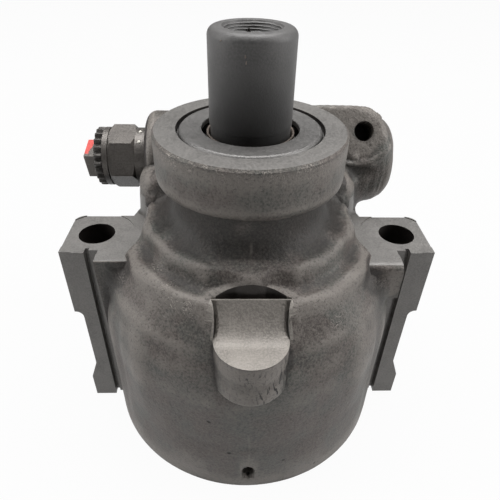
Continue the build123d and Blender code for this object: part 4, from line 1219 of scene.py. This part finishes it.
class PUMP_OT_studio(bpy.types.Operator):
    """Sets up the floor, the lamps, the room light and the camera"""

    bl_idname = "pump.studio"
    bl_label = "Studio"

    def execute(self, context):
        scene = context.scene
        studio = scene.pump_studio
        scene.view_settings.view_transform = "Standard"

        mesh = bmesh.new()
        bmesh.ops.create_circle(mesh, cap_ends=True, segments=96, radius=studio.floor_radius)
        bmesh.ops.translate(mesh, verts=mesh.verts, vec=(0, 0, -0.02 * MM))
        data = bpy.data.meshes.new("floor")
        mesh.to_mesh(data)
        mesh.free()
        floor = bpy.data.objects.new("floor", data)
        scene.collection.objects.link(floor)
        material = bpy.data.materials.new("Pale floor")
        tree = empty_tree(material)
        lit = node(tree, "ShaderNodeBsdfDiffuse", {"Color": FLOOR_GREY})
        glow = node(tree, "ShaderNodeEmission", {"Color": WHITE, "Strength": 1.0})
        mixed = white_to_camera(tree, lit.outputs[0], FLOOR_WHITENESS)
        tree.links.new(glow.outputs[0], mixed.inputs[2])
        output = tree.nodes.new("ShaderNodeOutputMaterial")
        tree.links.new(mixed.outputs[0], output.inputs[0])
        data.materials.append(material)

        world = bpy.data.worlds.new("Studio room")
        tree = empty_tree(world)
        path = tree.nodes.new("ShaderNodeLightPath")
        room = node(tree, "ShaderNodeBackground", {"Color": WHITE, "Strength": studio.world_level})
        backdrop = node(tree, "ShaderNodeBackground", {"Color": WHITE, "Strength": 1.0})
        mixed = node(
            tree,
            "ShaderNodeMixShader",
            {0: path.outputs["Is Camera Ray"], 1: room.outputs[0], 2: backdrop.outputs[0]},
        )
        output = tree.nodes.new("ShaderNodeOutputWorld")
        tree.links.new(mixed.outputs[0], output.inputs[0])
        scene.world = world

        middle = (0.0, 0.0, 0.05)
        area_lamp("top_lamp", (0.0, 0.16, 0.68), middle, (0.6, 0.4), studio.top_power)
        area_lamp("left_lamp", (-0.6, 0.0, 0.33), middle, (0.3, 0.6), studio.side_power)
        area_lamp("right_lamp", (0.6, -0.06, 0.36), middle, (0.3, 0.6), studio.side_power * 1.3)

        camera_data = bpy.data.cameras.new("camera")
        camera_data.lens = studio.lens
        camera_data.sensor_width = 36.0
        camera_data.clip_start = 0.005
        camera_data.clip_end = 50.0
        camera = bpy.data.objects.new("camera", camera_data)
        scene.collection.objects.link(camera)
        pitch, yaw, roll = CAMERA_PITCH, CAMERA_YAW, CAMERA_ROLL
        ahead = Vector((sin(yaw) * cos(pitch), cos(yaw) * cos(pitch), -sin(pitch)))
        right = Vector((cos(yaw), -sin(yaw), 0.0))
        down = ahead.cross(right)
        right, down = (
            cos(roll) * right + sin(roll) * down,
            -sin(roll) * right + cos(roll) * down,
        )
        turn = Matrix((right, -down, -ahead)).transposed()
        camera.matrix_world = Matrix.Translation(CAMERA_PLACE) @ turn.to_4x4()
        scene.camera = camera
        return {"FINISHED"}


finishes = {}


def pump_materials():
    """The pump's materials, made once."""
    if not finishes:
        finishes.update(make_materials(bpy.context.scene.pump_colours))
    return finishes


class PUMP_PT_panel(bpy.types.Panel):
    """Pump panel in the sidebar"""

    bl_label = "Power steering pump"
    bl_idname = "PUMP_PT_panel"
    bl_space_type = "VIEW_3D"
    bl_region_type = "UI"
    bl_category = "Pump"

    def draw(self, context):
        layout = self.layout
        for group in (context.scene.pump_colours, context.scene.pump_casting, context.scene.pump_studio):
            for name in group.__annotations__:
                layout.prop(group, name)
        for operator in OPERATORS:
            layout.operator(operator.bl_idname)


OPERATORS = (
    PUMP_OT_casting,
    PUMP_OT_shaft,
    PUMP_OT_seal,
    PUMP_OT_outlet,
    PUMP_OT_inner_parts,
    PUMP_OT_studio,
)
CLASSES = (PumpColours, PumpCasting, PumpStudio, *OPERATORS, PUMP_PT_panel)


def register():
    for item in CLASSES:
        bpy.utils.register_class(item)
    bpy.types.Scene.pump_colours = PointerProperty(type=PumpColours)
    bpy.types.Scene.pump_casting = PointerProperty(type=PumpCasting)
    bpy.types.Scene.pump_studio = PointerProperty(type=PumpStudio)


def unregister():
    del bpy.types.Scene.pump_studio
    del bpy.types.Scene.pump_casting
    del bpy.types.Scene.pump_colours
    for item in reversed(CLASSES):
        bpy.utils.unregister_class(item)


def main():
    register()
    bpy.ops.pump.inner_parts()
    bpy.ops.pump.casting()
    bpy.ops.pump.shaft()
    bpy.ops.pump.seal()
    bpy.ops.pump.outlet()
    bpy.ops.pump.studio()


if __name__ == "__main__":
    main()
